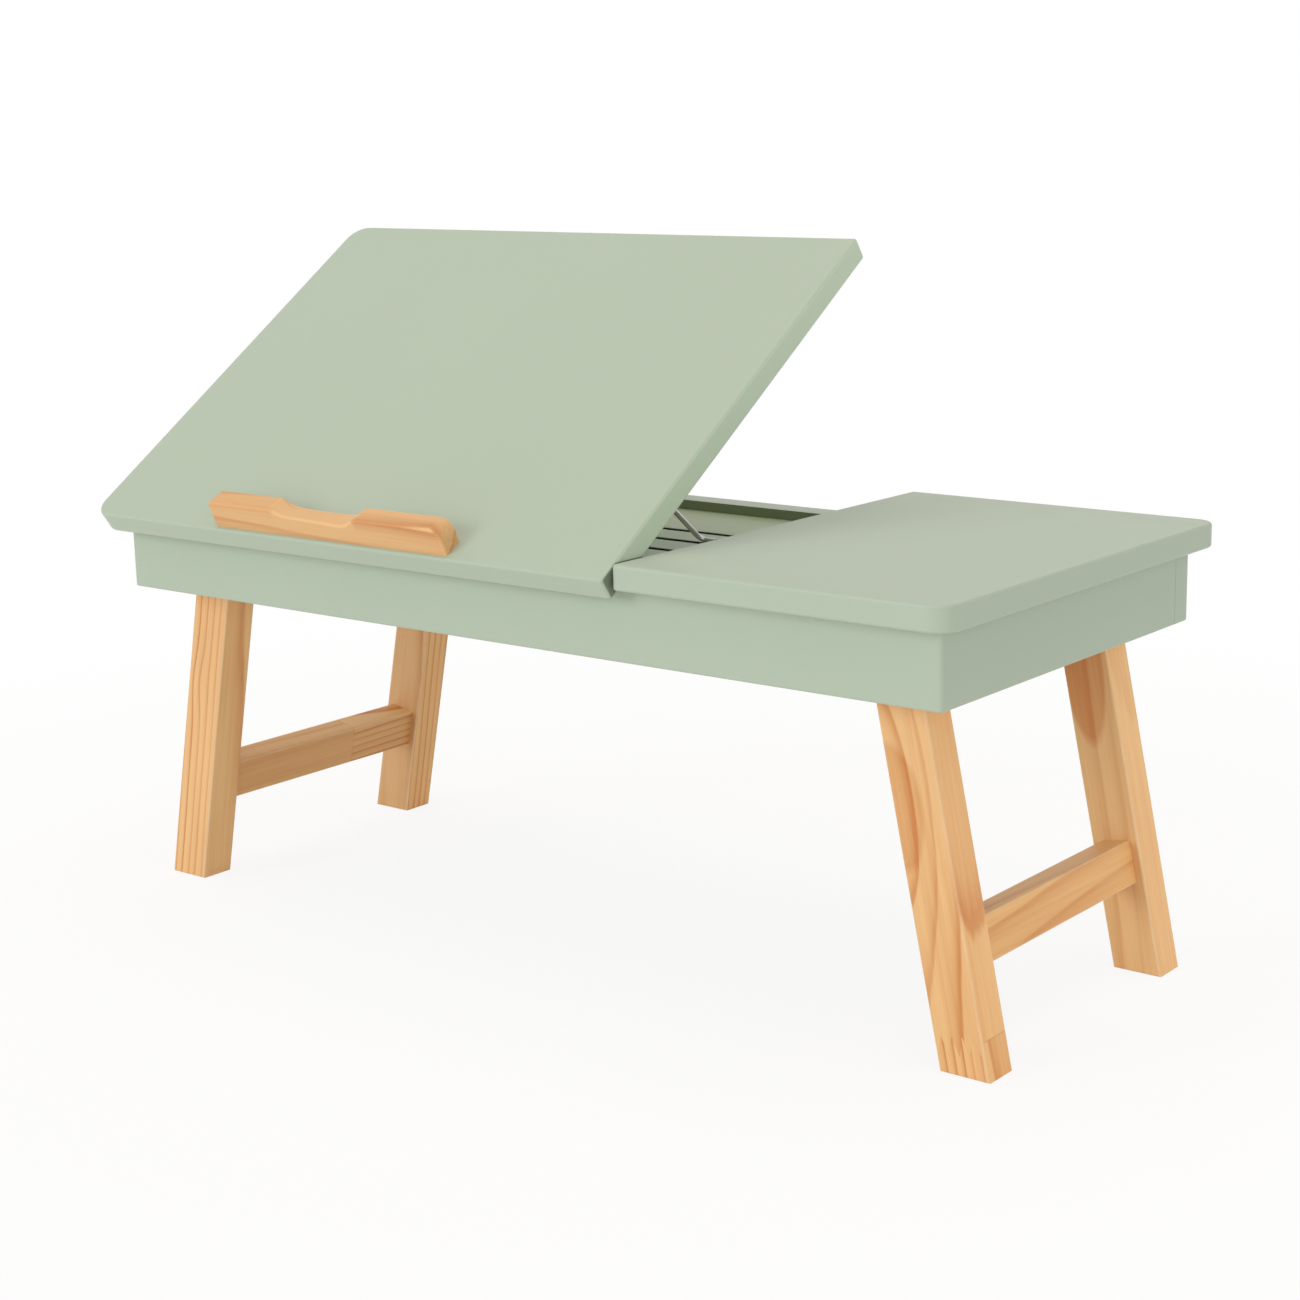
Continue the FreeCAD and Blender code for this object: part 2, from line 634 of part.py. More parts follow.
def ledge_bar():
    """The bar that keeps things from sliding off: raised, rounded ends and a scooped dip between them."""
    body = new_body("ledge_bar")
    length = size("ledge_length")
    height = size("ledge_height")
    dip = height - size("ledge_dip")
    dip_left = size("ledge_left_rise") + size("ledge_left_shoulder")
    dip_right = length - size("ledge_right_rise") - size("ledge_right_shoulder")
    outline = (
        (ZERO, ZERO),
        (length, ZERO),
        (length, height),
        (length - size("ledge_right_rise"), height),
        (dip_right, dip),
        (dip_left, dip),
        (size("ledge_left_rise"), height),
        (ZERO, height),
    )
    sketch = polygon(body, "XZ_Plane", outline, -size("ledge_depth"))
    pad(body, sketch, size("ledge_depth"))
    for end, radius in ((ZERO, size("ledge_left_end_radius")), (length, size("ledge_right_end_radius"))):
        fillet(
            body,
            radius,
            lambda edge: runs_along(edge, 1) and lies_at(edge, 2, height) and lies_at(edge, 0, end),
        )
    fillet(body, size("ledge_dip_radius"), lambda edge: runs_along(edge, 1) and lies_at(edge, 2, dip))
    fillet(
        body,
        ledge_round,
        lambda edge: (lies_at(edge, 1, ZERO) or lies_at(edge, 1, size("ledge_depth")))
        and not lies_at(edge, 2, ZERO),
    )
    holes = [(x - ledge_left, y - ledge_front) for x, y in ledge_dowel_places]
    cut(body, circles(body, "XY_Plane", holes, size("dowel_radius")), size("top_dowel_grip"), backwards=True)
    add_node(body, placed(tilt_frame, ledge_left, ledge_front, panel_over))


def ledge_dowels():
    members = []
    for x, y in ledge_dowel_places:
        start = placed(tilt_frame, x, y, panel_over - size("top_dowel_grip"))
        members.append(rod("ledge_dowel", size("dowel_radius"), size("top_dowel_grip") * 2, start))
    group("ledge_dowels", members)


# The hinges
knuckle_length = (size("hinge_length") - size("barrel_clearance") * 2) / 3
knuckle_step = knuckle_length + size("barrel_clearance")


def hinge_leaf(label, frame, start, plate_level, knuckle_starts, sink_level):
    """A hinge leaf: x along the pin from the hinge's left end, y away from the pin, which lies at zero."""
    body = new_body(label)
    plate_high = (size("hinge_length"), size("leaf_reach"))
    plate = rectangle(body, "XY_Plane", (ZERO, barrel_room), plate_high, plate_level)
    pad(body, plate, size("leaf_thick"))
    for knuckle in knuckle_starts:
        tab_high = (knuckle + knuckle_length, barrel_room)
        tab = rectangle(body, "XY_Plane", (knuckle, ZERO), tab_high, plate_level)
        pad(body, tab, size("leaf_thick"))
        barrel = circles(body, "YZ_Plane", [(ZERO, ZERO)], size("barrel_radius"), knuckle)
        pad(body, barrel, knuckle_length)
    bore_radius = size("pin_radius") + size("pin_clearance")
    bore = circles(body, "YZ_Plane", [(ZERO, ZERO)], bore_radius, -overrun)
    cut(body, bore, size("hinge_length") + overrun * 2, backwards=True)
    holes = [(x, screw_across) for x in screw_along]
    drill = circles(body, "XY_Plane", holes, size("screw_radius"), plate_level - overrun)
    cut(body, drill, size("leaf_thick") + overrun * 2, backwards=True)
    dress(
        body,
        "Chamfer",
        "Size",
        sink_depth,
        lambda edge: isinstance(edge.Curve, Part.Circle)
        and near(edge.Curve.Radius, size("screw_radius"))
        and lies_at(edge, 2, sink_level),
    )
    add_node(body, placed(frame, start, ZERO, ZERO))


def hinge_pin(label, frame, start):
    body = new_body(label)
    pad(body, circles(body, "YZ_Plane", [(ZERO, ZERO)], size("pin_radius")), size("hinge_length"))
    dress(body, "Chamfer", "Size", size("pin_chamfer"), lambda edge: isinstance(edge.Curve, Part.Circle))
    add_node(body, placed(frame, start, ZERO, ZERO))


def countersunk_screw(placement):
    """A screw whose flat head ends at its placement, with the shank below it."""
    head = doc.addObject("Part::Cone", "screw_head")
    bind(head, "Radius1", size("screw_radius"))
    bind(head, "Radius2", size("screw_head_radius"))
    bind(head, "Height", sink_depth)
    head.Placement = Placement(Vector(0, 0, -sink_depth.value), UNTURNED)
    shank_start = Placement(Vector(0, 0, -(sink_depth + size("screw_length")).value), UNTURNED)
    shank = rod("screw_shank", size("screw_radius"), size("screw_length"), shank_start)
    screw = doc.addObject("Part::Fuse", "screw")
    screw.Base = head
    screw.Tool = shank
    screw.Placement = placement
    return screw


def hinges():
    outer_knuckles = (ZERO, knuckle_step * 2)
    lower_screws = []
    upper_screws = []
    hinge_frame = placed(tray_frame, ZERO, hinge_y, hinge_z)
    for side, start in zip(("left", "right"), hinge_starts):
        lower_level = -panel_under - size("leaf_thick")
        upper_level = panel_under
        hinge_leaf(f"{side}_hinge_lower_leaf", hinge_frame, start, lower_level, outer_knuckles, -panel_under)
        hinge_leaf(f"{side}_hinge_upper_leaf", tilt_frame, start, upper_level, (knuckle_step,), panel_under)
        hinge_pin(f"{side}_hinge_pin", hinge_frame, start)
        for x in screw_along:
            seat = placed(hinge_frame, start + x, screw_across, -panel_under)
            lower_screws.append(countersunk_screw(seat))
            seat = placed(tilt_frame, start + x, screw_across, panel_under, UPSIDE_DOWN)
            upper_screws.append(countersunk_screw(seat))
    group("lower_hinge_screws", lower_screws)
    group("upper_hinge_screws", upper_screws)


# The prop and its clips
VOLUME_TOLERANCE_SHARE = 0.001


def wire_clip(label, x):
    """A saddle clip: two flats screwed to the top's underside and a hump round the wire."""
    body = new_body(label)
    wire_drop = size("wire_gap") + size("wire_radius")
    flat_reach = clip_outer_radius + size("clip_flange")
    inner_radius = size("wire_radius") + size("clip_clearance")
    start = -(size("clip_width") / 2)
    low = (-flat_reach, -size("clip_thick"))
    pad(body, rectangle(body, "YZ_Plane", low, (flat_reach, ZERO), start), size("clip_width"))
    low = (-clip_outer_radius, -wire_drop)
    pad(body, rectangle(body, "YZ_Plane", low, (clip_outer_radius, ZERO), start), size("clip_width"))
    axis = (ZERO, -wire_drop)
    pad(body, half_disc(body, "YZ_Plane", axis, clip_outer_radius, start), size("clip_width"))
    cut_start = start - overrun
    cut_length = size("clip_width") + overrun * 2
    low = (-inner_radius, -wire_drop)
    slot = rectangle(body, "YZ_Plane", low, (inner_radius, overrun), cut_start)
    cut(body, slot, cut_length, backwards=True)
    cut(body, half_disc(body, "YZ_Plane", axis, inner_radius, cut_start), cut_length, backwards=True)
    holes = [(ZERO, -clip_screw_offset), (ZERO, clip_screw_offset)]
    drill = circles(body, "XY_Plane", holes, size("screw_radius"), overrun)
    cut(body, drill, size("clip_thick") + overrun * 2)
    add_node(body, placed(tilt_frame, x, size("prop_reach"), panel_under))


def clip_screw(placement):
    """A low round-headed screw with its seat at its placement and its shank along its own Z."""
    head_start = Placement(Vector(0, 0, -size("clip_head_height").value), UNTURNED)
    head = rod("clip_screw_head", size("screw_head_radius"), size("clip_head_height"), head_start)
    shank = rod("clip_screw_shank", size("screw_radius"), size("clip_screw_length"), Placement())
    screw = doc.addObject("Part::Fuse", "clip_screw")
    screw.Base = head
    screw.Tool = shank
    screw.Placement = placement
    return screw


def clips():
    for side, x in zip(("left", "right"), clip_places):
        wire_clip(f"{side}_wire_clip", x)
    seat = panel_under - size("clip_thick")
    group("clip_screws", [clip_screw(placed(tilt_frame, x, y, seat)) for x, y in clip_screw_places])


def wire_prop():
    """The prop: one wire bent to a bail, its bar in the clips and its two feet turned outwards."""
    body = new_body("wire_prop")
    half = size("prop_width") / 2
    foot = half + size("prop_foot_length")
    bend = size("wire_bend_radius")
    length = prop_length
    spine = new_sketch(body, "XY_Plane", ZERO)
    runs = (
        ((foot, length), (half + bend, length)),
        ((half, length - bend), (half, bend)),
        ((half - bend, ZERO), (bend - half, ZERO)),
        ((-half, bend), (-half, length - bend)),
        ((-half - bend, length), (-foot, length)),
    )
    for start, end in runs:
        spine.addGeometry(Part.LineSegment(*(Vector(x.value, y.value, 0) for x, y in (start, end))))
    for line, (start, end) in enumerate(runs):
        hold_point(spine, line, 1, *start)
        hold_point(spine, line, 2, *end)
    # each bend: its middle, the quarter that it starts at, and the runs' ends where it starts and stops
    bends = (
        ((half + bend, length - bend), 1, (0, 2), (1, 1)),
        ((half - bend, bend), 3, (2, 1), (1, 2)),
        ((bend - half, bend), 2, (3, 1), (2, 2)),
        ((-half - bend, length - bend), 0, (3, 2), (4, 1)),
    )
    for (x, y), quarter, first, last in bends:
        circle = Part.Circle(Vector(x.value, y.value, 0), Z_AXIS, bend.value)
        angles = (quarter * math.pi / 2, (quarter + 1) * math.pi / 2)
        arc = spine.addGeometry(Part.ArcOfCircle(circle, *angles))
        spine.addConstraint(Sketcher.Constraint("Coincident", *first, arc, 1))
        spine.addConstraint(Sketcher.Constraint("Coincident", *last, arc, 2))
        hold(spine, Sketcher.Constraint("Radius", arc, bend.value), bend)
    profile = circles(body, "YZ_Plane", [(length, ZERO)], size("wire_radius"), foot)
    doc.recompute()
    pipe = body.newObject("PartDesign::AdditivePipe", "bent_wire")
    pipe.Profile = profile
    pipe.Spine = (spine, [])
    doc.recompute()
    wire_volume = profile.Shape.Wires[0].Length * size("wire_radius").value / 2 * spine.Shape.Length
    if abs(body.Shape.Volume / wire_volume - 1) > VOLUME_TOLERANCE_SHARE:
        raise RuntimeError("the wire's volume is not its section times its length")
    add_node(body, prop_frame)


# The leg pivots
def pivot_block(label, side_turn, y):
    """A block behind a front or back board that spaces a leg off it: x and z from the pivot's axis."""
    body = new_body(label)
    low = (-size("block_reach"), apron_bottom + size("block_rise") - pivot_z)
    high = (size("pivot_inset"), floor_under - pivot_z)
    outline = rectangle(body, "XZ_Plane", low, high, -size("block_thick"))
    pad(body, outline, size("block_thick"))
    bore = circles(body, "XZ_Plane", [(ZERO, ZERO)], size("insert_radius"), overrun)
    cut(body, bore, size("block_thick") + overrun * 2)
    x = -pivot_x if side_turn is HALF_TURN else pivot_x
    add_node(body, placed(tray_frame, x, y, pivot_z, side_turn))


def pivot_blocks():
    near_face = inner_depth / 2
    pivot_block("front_right_pivot_block", UNTURNED, -near_face)
    pivot_block("back_right_pivot_block", UNTURNED, block_inner)
    pivot_block("front_left_pivot_block", HALF_TURN, -block_inner)
    pivot_block("back_left_pivot_block", HALF_TURN, near_face)


def ring(name, radius, bore, length, placement):
    """A washer or bush that starts at its placement and runs along its own Z."""
    hole_start = Placement(Vector(0, 0, -overrun.value), UNTURNED)
    solid = rod(f"{name}_body", radius, length, Placement())
    hole = rod(f"{name}_hole", bore, length + overrun * 2, hole_start)
    feature = doc.addObject("Part::Cut", name)
    feature.Base = solid
    feature.Tool = hole
    feature.Placement = placement
    return feature


def pivot_bolt(placement):
    """A shoulder bolt along its own Y: thread behind the origin, shoulder and socket head in front."""
    body = new_body("pivot_bolt")
    shoulder = size("washer_thick") + size("leg_play") * 2 + size("leg_depth")
    head = shoulder + size("bolt_head_height")
    outline = (
        (ZERO, -size("insert_length")),
        (size("bolt_thread_radius"), -size("insert_length")),
        (size("bolt_thread_radius"), ZERO),
        (size("bolt_radius"), ZERO),
        (size("bolt_radius"), shoulder),
        (size("bolt_head_radius"), shoulder),
        (size("bolt_head_radius"), head),
        (ZERO, head),
    )
    sketch = polygon(body, "XY_Plane", outline)
    turned = body.newObject("PartDesign::Revolution", "turned_bolt")
    turned.Profile = sketch
    turned.ReferenceAxis = (sketch, ["V_Axis"])
    doc.recompute()
    fillet(
        body,
        size("bolt_head_round"),
        lambda edge: isinstance(edge.Curve, Part.Circle)
        and near(edge.Curve.Radius, size("bolt_head_radius"))
        and lies_at(edge, 1, head),
    )
    corner = size("key_width") / turn("cos", Size("30", 30.0)) / 2
    corners = [
        (corner * math.cos(math.radians(angle)), corner * math.sin(math.radians(angle)))
        for angle in range(0, 360, 60)
    ]
    socket = polygon(body, "XZ_Plane", corners, -(head - size("key_depth")))
    cut(body, socket, size("key_depth") + overrun)
    body.Placement = placement
    return body


def pivots():
    bolts = []
    washers = []
    inserts = []
    faces = (
        (-block_inner, UNTURNED, ALONG_Y),
        (block_inner, HALF_TURN, ALONG_Y.inverted()),
    )
    for x in (-pivot_x, pivot_x):
        for side, facing, inward in faces:
            seat = placed(tray_frame, x, side, pivot_z, facing)
            bolts.append(pivot_bolt(seat))
            washer_bore = size("bolt_radius") + size("bolt_clearance")
            washer_seat = placed(tray_frame, x, side, pivot_z, inward)
            washers.append(
                ring("washer", size("washer_radius"), washer_bore, size("washer_thick"), washer_seat)
            )
            insert_seat = placed(tray_frame, x, side, pivot_z, inward.multiply(UPSIDE_DOWN))
            inserts.append(
                ring(
                    "insert",
                    size("insert_radius"),
                    size("bolt_thread_radius"),
                    size("insert_length"),
                    insert_seat,
                )
            )
    group("pivot_bolts", bolts)
    group("pivot_washers", washers)
    group("pivot_inserts", inserts)


def stop_rail(label, side_turn):
    """A rail on an end board, bevelled to the lean of the open legs that rest on it."""
    body = new_body(label)
    splay = size("leg_splay")
    face = (size("leg_width") / 2 + size("stop_gap")) / turn("cos", splay)
    low = apron_bottom + size("block_rise") - pivot_z
    high = floor_under - pivot_z
    outline = (
        (face - low * turn("tan", splay), low),
        (size("pivot_inset"), low),
        (size("pivot_inset"), high),
        (face - high * turn("tan", splay), high),
    )
    pad(body, polygon(body, "XZ_Plane", outline, -block_inner), block_inner * 2)
    x = -pivot_x if side_turn is HALF_TURN else pivot_x
    add_node(body, placed(tray_frame, x, ZERO, pivot_z, side_turn))


# The leg frames, each about its pivot axis with the legs straight down
splay_slant = size("leg_width") / 2 * turn("tan", size("leg_splay"))
leg_reach = pivot_z / turn("cos", size("leg_splay"))
outer_edge = -(leg_reach + splay_slant)
inner_edge = splay_slant - leg_reach
stretcher_low = outer_edge + size("stretcher_rise")
stretcher_middle = stretcher_low + size("stretcher_height") / 2
stretcher_dowel_levels = (
    stretcher_middle - size("stretcher_dowel_spacing") / 2,
    stretcher_middle + size("stretcher_dowel_spacing") / 2,
)
stretcher_dowel_holes = [(ZERO, level) for level in stretcher_dowel_levels]


def leg(label, frame, near_side):
    """A leg with a round upper end, a level foot and two dowel holes in its inner face."""
    body = new_body(label)
    half = size("leg_width") / 2
    half_depth = size("leg_depth") / 2
    outline = ((-half, ZERO), (-half, inner_edge), (half, outer_edge), (half, ZERO))
    pad(body, polygon(body, "XZ_Plane", outline, -half_depth), size("leg_depth"))
    pad(body, circles(body, "XZ_Plane", [(ZERO, ZERO)], half, -half_depth), size("leg_depth"))
    faces = (-half_depth, half_depth)
    fillet(body, size("leg_edge_round"), lambda edge: any(lies_at(edge, 1, face) for face in faces))
    bore_radius = size("bolt_radius") + size("bolt_clearance")
    bore = circles(body, "XZ_Plane", [(ZERO, ZERO)], bore_radius, half_depth + overrun)
    cut(body, bore, size("leg_depth") + overrun * 2)
    grip = size("stretcher_dowel_grip")
    level = grip - half_depth if near_side else half_depth + overrun
    holes = circles(body, "XZ_Plane", stretcher_dowel_holes, size("dowel_radius"), level)
    cut(body, holes, grip + overrun)
    add_node(body, placed(frame, ZERO, -leg_middle if near_side else leg_middle, ZERO))


def stretcher(label, frame):
    """The rail between the two legs of a frame, set back from both of their faces."""
    body = new_body(label)
    half = size("stretcher_thick") / 2
    low = (-half, stretcher_low)
    high = (half, stretcher_low + size("stretcher_height"))
    pad(body, rectangle(body, "XZ_Plane", low, high, -leg_inner), leg_inner * 2)
    fillet(body, size("stretcher_edge_round"), lambda edge: runs_along(edge, 1))
    grip = size("stretcher_dowel_grip")
    for level in (leg_inner + overrun, grip - leg_inner):
        holes = circles(body, "XZ_Plane", stretcher_dowel_holes, size("dowel_radius"), level)
        cut(body, holes, grip + overrun)
    add_node(body, frame)


def leg_frame(side, frame):
    near_name, far_name = ("front", "back") if side == "right" else ("back", "front")
    leg(f"{side}_{near_name}_leg", frame, True)
    leg(f"{side}_{far_name}_leg", frame, False)
    stretcher(f"{side}_stretcher", frame)
    grip = size("stretcher_dowel_grip")
    starts = [(y - grip, level) for y in (-leg_inner, leg_inner) for level in stretcher_dowel_levels]
    members = [
        rod("stretcher_dowel", size("dowel_radius"), grip * 2, placed(frame, ZERO, y, level, ALONG_Y))
        for y, level in starts
    ]
    group(f"{side}_stretcher_dowels", members)


dowel_insets = (size("top_dowel_inset"), size("fixed_length") - size("top_dowel_inset"))
front_dowels = [tray_half + fixed_left + x for x in dowel_insets]
back_dowels = [tray_length - x for x in front_dowels]
long_board("apron_front", UNTURNED, front_dowels, hinge_starts)
long_board("apron_back", HALF_TURN, back_dowels, ())
end_board("apron_left", UNTURNED)
end_board("apron_right", HALF_TURN)
corner_dowels()
floor_panel()
fixed_top()
fixed_top_dowels()
tilt_top()
ledge_bar()
ledge_dowels()
hinges()
clips()
wire_prop()
pivot_blocks()
pivots()
stop_rail("right_stop_rail", UNTURNED)
stop_rail("left_stop_rail", HALF_TURN)
for side, frame in leg_frames.items():
    leg_frame(side, frame)
doc.recompute()

# Nothing is written unless every object and every sub-part is sound
for item in doc.Objects:
    if {"Invalid", "Error"} & set(item.State):
        raise RuntimeError(f"{item.Label} failed: {item.State}")
for node in nodes:
    if node.Shape.isNull() or not node.Shape.isValid():
        raise RuntimeError(f"{node.Label} has no valid shape")

os.makedirs("parts", exist_ok=True)
for node in nodes:
    node.Shape.exportStep(os.path.join("parts", f"{node.Label}.step"))

print(f"{len(nodes)} nodes")
for label, frame in (("tilt hinge", tilt_frame), ("prop pivot", prop_frame), *leg_frames.items()):
    print(label, [round(amount, 4) for amount in frame.Base])
print("prop slope", round(prop_slope, 4), "prop length", round(prop_length.value, 4))
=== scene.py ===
import json
import math

import bpy
from bpy.props import FloatProperty, FloatVectorProperty, PointerProperty
from bpy.types import Operator, Panel, PropertyGroup
from mathutils import Euler, Matrix, Vector


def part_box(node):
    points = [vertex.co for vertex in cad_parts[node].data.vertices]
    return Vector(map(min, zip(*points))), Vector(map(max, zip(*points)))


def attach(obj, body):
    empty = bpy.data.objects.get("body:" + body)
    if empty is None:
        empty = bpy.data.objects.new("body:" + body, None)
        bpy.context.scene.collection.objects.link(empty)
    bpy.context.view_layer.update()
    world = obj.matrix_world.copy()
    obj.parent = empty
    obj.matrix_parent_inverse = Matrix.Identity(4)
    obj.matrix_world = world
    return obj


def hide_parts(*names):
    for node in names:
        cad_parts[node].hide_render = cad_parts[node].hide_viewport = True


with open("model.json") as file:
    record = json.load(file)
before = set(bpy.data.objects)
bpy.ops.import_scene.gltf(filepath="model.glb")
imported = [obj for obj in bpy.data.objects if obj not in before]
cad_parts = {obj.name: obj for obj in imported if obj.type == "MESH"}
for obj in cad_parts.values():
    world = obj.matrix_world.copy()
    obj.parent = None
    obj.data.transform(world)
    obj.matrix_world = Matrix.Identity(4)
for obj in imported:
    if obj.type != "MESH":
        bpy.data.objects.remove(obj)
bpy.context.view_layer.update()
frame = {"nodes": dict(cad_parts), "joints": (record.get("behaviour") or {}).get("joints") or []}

bl_info = {
    "name": "Laptop table",
    "version": (1, 0, 0),
    "blender": (4, 5, 0),
    "location": "3D View > Sidebar > Laptop table",
    "description": "Paints and finishes the boards, legs, hinges and wire prop of a laptop table",
    "category": "Object",
}


def linear(red, green, blue):
    """A colour written from 0 to 255, as the linear colour that a shader takes."""
    shares = (red / 255, green / 255, blue / 255)
    return tuple(s / 12.92 if s <= 0.04045 else ((s + 0.055) / 1.055) ** 2.4 for s in shares)


def joint(name):
    """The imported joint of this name."""
    return next(j for j in frame["joints"] if j["name"] == name)


# Places and sizes of the pieces, in metres

SIDES = ("left", "right")
PAINTED_BOARDS = ("apron_front", "apron_left", "apron_right", "fixed_top")
HINGE = Vector(joint("tilt_hinge")["pos_m"])
TILT = -math.radians(joint("tilt_hinge")["range_deg"][0])
UPSIDE_DOWN = Euler((TILT + math.pi, 0.0, 0.0))
LEG_SPLAY = math.radians(11.7)
LEG_HALF = (0.0155, 0.0125)
STRETCHER_HALF = (0.0100, 0.0135)
NEAR = 1e-6
FAIRLY_NEAR = 1e-5

# The screws: up the tilting top's slope, along a hinge and off the underside, and their own shape
HINGE_SCREW_REACH = 0.00955
HINGE_SCREW_SPREAD = 0.017
HINGE_SCREW_LENGTH = 0.010
CLIP_SCREW_REACH = (0.09915, 0.11485)
CLIP_SCREW_SEAT = -0.00085
CLIP_SCREW_LENGTH = 0.008
PAN_HEAD_HEIGHT = 0.0012
PAN_HEAD_STEPS = ((0.55, 1.0), (0.3, 0.86), (0.15, 0.72))
POINT_LENGTH = 1.6
POINT_SPREAD = 0.18
RECESS_WIDTH = 0.2
RECESS_REACH = 0.62
RECESS_TAPER = 0.6
RECESS_EASING = 0.00008
SCREW_SMOOTHING = math.radians(35)
ROUND_SIDES = 32

# The ledge's dip: how far along the bar, and how far the front and back edges drop there
LEDGE_DIP = (
    (0.057, 0.0000, 0.0000),
    (0.060, 0.0015, 0.0019),
    (0.064, 0.0029, 0.0037),
    (0.068, 0.0037, 0.0048),
    (0.074, 0.0041, 0.0055),
    (0.082, 0.0042, 0.0059),
    (0.092, 0.0045, 0.0061),
    (0.102, 0.0050, 0.0062),
    (0.110, 0.0055, 0.0062),
    (0.116, 0.0056, 0.0059),
    (0.120, 0.0050, 0.0052),
    (0.123, 0.0038, 0.0040),
    (0.126, 0.0020, 0.0022),
    (0.129, 0.0006, 0.0007),
    (0.132, 0.0000, 0.0000),
)
LEDGE_REACH = -0.008
LEDGE_LEVEL = 0.01515
LEDGE_SMOOTHING = math.radians(38)
LEDGE_DOWELS = (0.030, 0.170)
DOWEL_RADIUS = 0.003
DOWEL_GRIP = 0.009

# Limits of the painted light and shade: the axes, which way to keep from a level, and how deep a face's
# skin is
X, Y, Z = range(3)
PAST = 1.0
SHORT = -1.0
SKIN_SHARPNESS = 2500.0
GROOVE_LIP = 0.0002
PANEL_UNDERSIDE = 0.0015
TRAY_FLOOR_SKIN = 0.0005
SPLIT_SKIN = 0.0006
WOOD_SKIN = 0.0004
BACK_BOARD_DEPTH = 0.0175

# Painted light and shade, and lesser values of the finishes
# Painted shade, near black, in the grooves of the tray's floor
GROOVE_PAINTED_SHADE = (0.05, 0.045, 0.03)
# Painted shade, warmer and a little darker, on the upper face of the tray's floor
TRAY_FLOOR_PAINTED_SHADE = (0.96, 0.95, 0.79)
# Painted shade, dark olive, on the back board's inner face inside the tray
INNER_BACK_PAINTED_SHADE = (0.45, 0.43, 0.31)
# Painted light on the tilting top's end face beside the fixed top
SPLIT_PAINTED_LIGHT = (1.28, 1.28, 1.26)
# Painted shade on that end face below the fixed top's upper face
LOW_SPLIT_PAINTED_SHADE = (0.32, 0.32, 0.30)
FLECK_COLOUR = (0.82, 0.72, 0.6, 1.0)
GLUE_COLOUR = (0.62, 0.42, 0.28, 1.0)
GLUE_SHARE = 0.3
# A painted highlight, broken up by scuffs, along the long edges of the legs and stretchers
EDGE_HIGHLIGHT_COLOUR = (1.0, 0.80, 0.56, 1.0)
EDGE_HIGHLIGHT_SHARE = 0.8
BLOOM_COLOUR = (0.42, 0.43, 0.42, 1.0)
WIRE_PLATING = 0.00003
STEEL_PLATING = 0.00002
WHITE = (1.0, 1.0, 1.0, 1.0)
ORIGIN = (0.0, 0.0, 0.0)

# How dark the wood is across one growth ring
RING_PROFILE = (
    (0.0, 0.1), (0.1, 0.0), (0.4, 0.1), (0.7, 0.45), (0.88, 0.95), (0.94, 0.9), (1.0, 0.1)
)

# The floor and the lamps
FLOOR_SIZE = 14.0
FLOOR_LEVEL = -0.00005
FLOOR_ROUNDING = 6.5
SHADOW_REACH = 0.45
SHADOW_FADE = 1.6
FLOOR_ROUGHNESS = 0.85
LAMP_HEIGHT = 2.5
LEFT_LAMP_HEADING = math.radians(-30)
RIGHT_LAMP_HEADING = math.radians(48)
UPPER_LAMP_SPREAD = math.radians(60)
FRONT_LAMP_SPREAD = math.radians(28)


# Sizes and colours that a user may change

COLOUR = {"subtype": "COLOR", "min": 0.0, "max": 1.0}
SHARE = {"subtype": "FACTOR", "min": 0.0}
LENGTH = {"unit": "LENGTH", "precision": 5}
ANGLE = {"subtype": "ANGLE"}


def field(name, description, default, **details):
    """A number, colour or place that a user may change."""
    kind = FloatVectorProperty if isinstance(default, tuple) else FloatProperty
    return kind(name=name, description=description, default=default, **details)


class PaintProperties(PropertyGroup):
    """The satin paint on the boards."""

    colour: field("Paint", "Colour of the paint on the boards", linear(180, 194, 174), **COLOUR)
    drift: field("Drift", "How far the paint's tone drifts over a board", 0.05, **SHARE, max=1.0)
    roller_height: field(
        "Roller texture", "Height of the fine texture that a roller leaves", 0.00004, **LENGTH, min=0.0
    )


class PineProperties(PropertyGroup):
    """The lacquered pine of the legs, stretchers and ledge."""

    pale: field("Early wood", "Colour of the wood between the rings", linear(239, 190, 131), **COLOUR)
    band: field("Late wood", "Colour of the dark part of a ring", linear(206, 129, 60), **COLOUR)
    grain_depth: field("Grain depth", "Height of the grain under the lacquer", 0.00006, **LENGTH, min=0.0)


class HardwareProperties(PropertyGroup):
    """The wire prop, hinges, clips, bolts and screws."""

    zinc: field("Zinc", "Colour of the plated wire", linear(176, 177, 168), **COLOUR)
    steel: field("Plated steel", "Colour of the other hardware", linear(186, 186, 180), **COLOUR)
    head_radius: field("Screw head", "Radius of a screw's head", 0.0025, **LENGTH, min=0.001)
    shank_radius: field("Screw shank", "Radius of a screw's shank", 0.0015, **LENGTH, min=0.0005)
    recess_depth: field("Recess", "Depth of a screw's cross recess", 0.0009, **LENGTH, min=0.0001)


class LedgeProperties(PropertyGroup):
    """The ledge bar that keeps a book or laptop from sliding."""

    length: field("Length", "Length of the ledge bar", 0.200, **LENGTH, min=0.15)
    depth: field("Depth", "Depth of the ledge bar, up the slope", 0.014, **LENGTH, min=0.008)
    height: field("Height", "Height of the bar's raised ends above the top", 0.0175, **LENGTH, min=0.01)
    left_round: field("Left end", "Rounding of the upper left end", 0.0030, **LENGTH, min=0.0005)
    right_round: field("Right end", "Rounding of the upper right end", 0.0090, **LENGTH, min=0.0005)
    lean: field("Lean", "How far the bar leans back at its top", 0.0034, **LENGTH, min=0.0)
    fall: field("Fall", "How far the upper face falls towards the back", 0.0022, **LENGTH, min=0.0)
    easing: field("Easing", "Easing of the long edges", 0.0014, **LENGTH, min=0.0002)


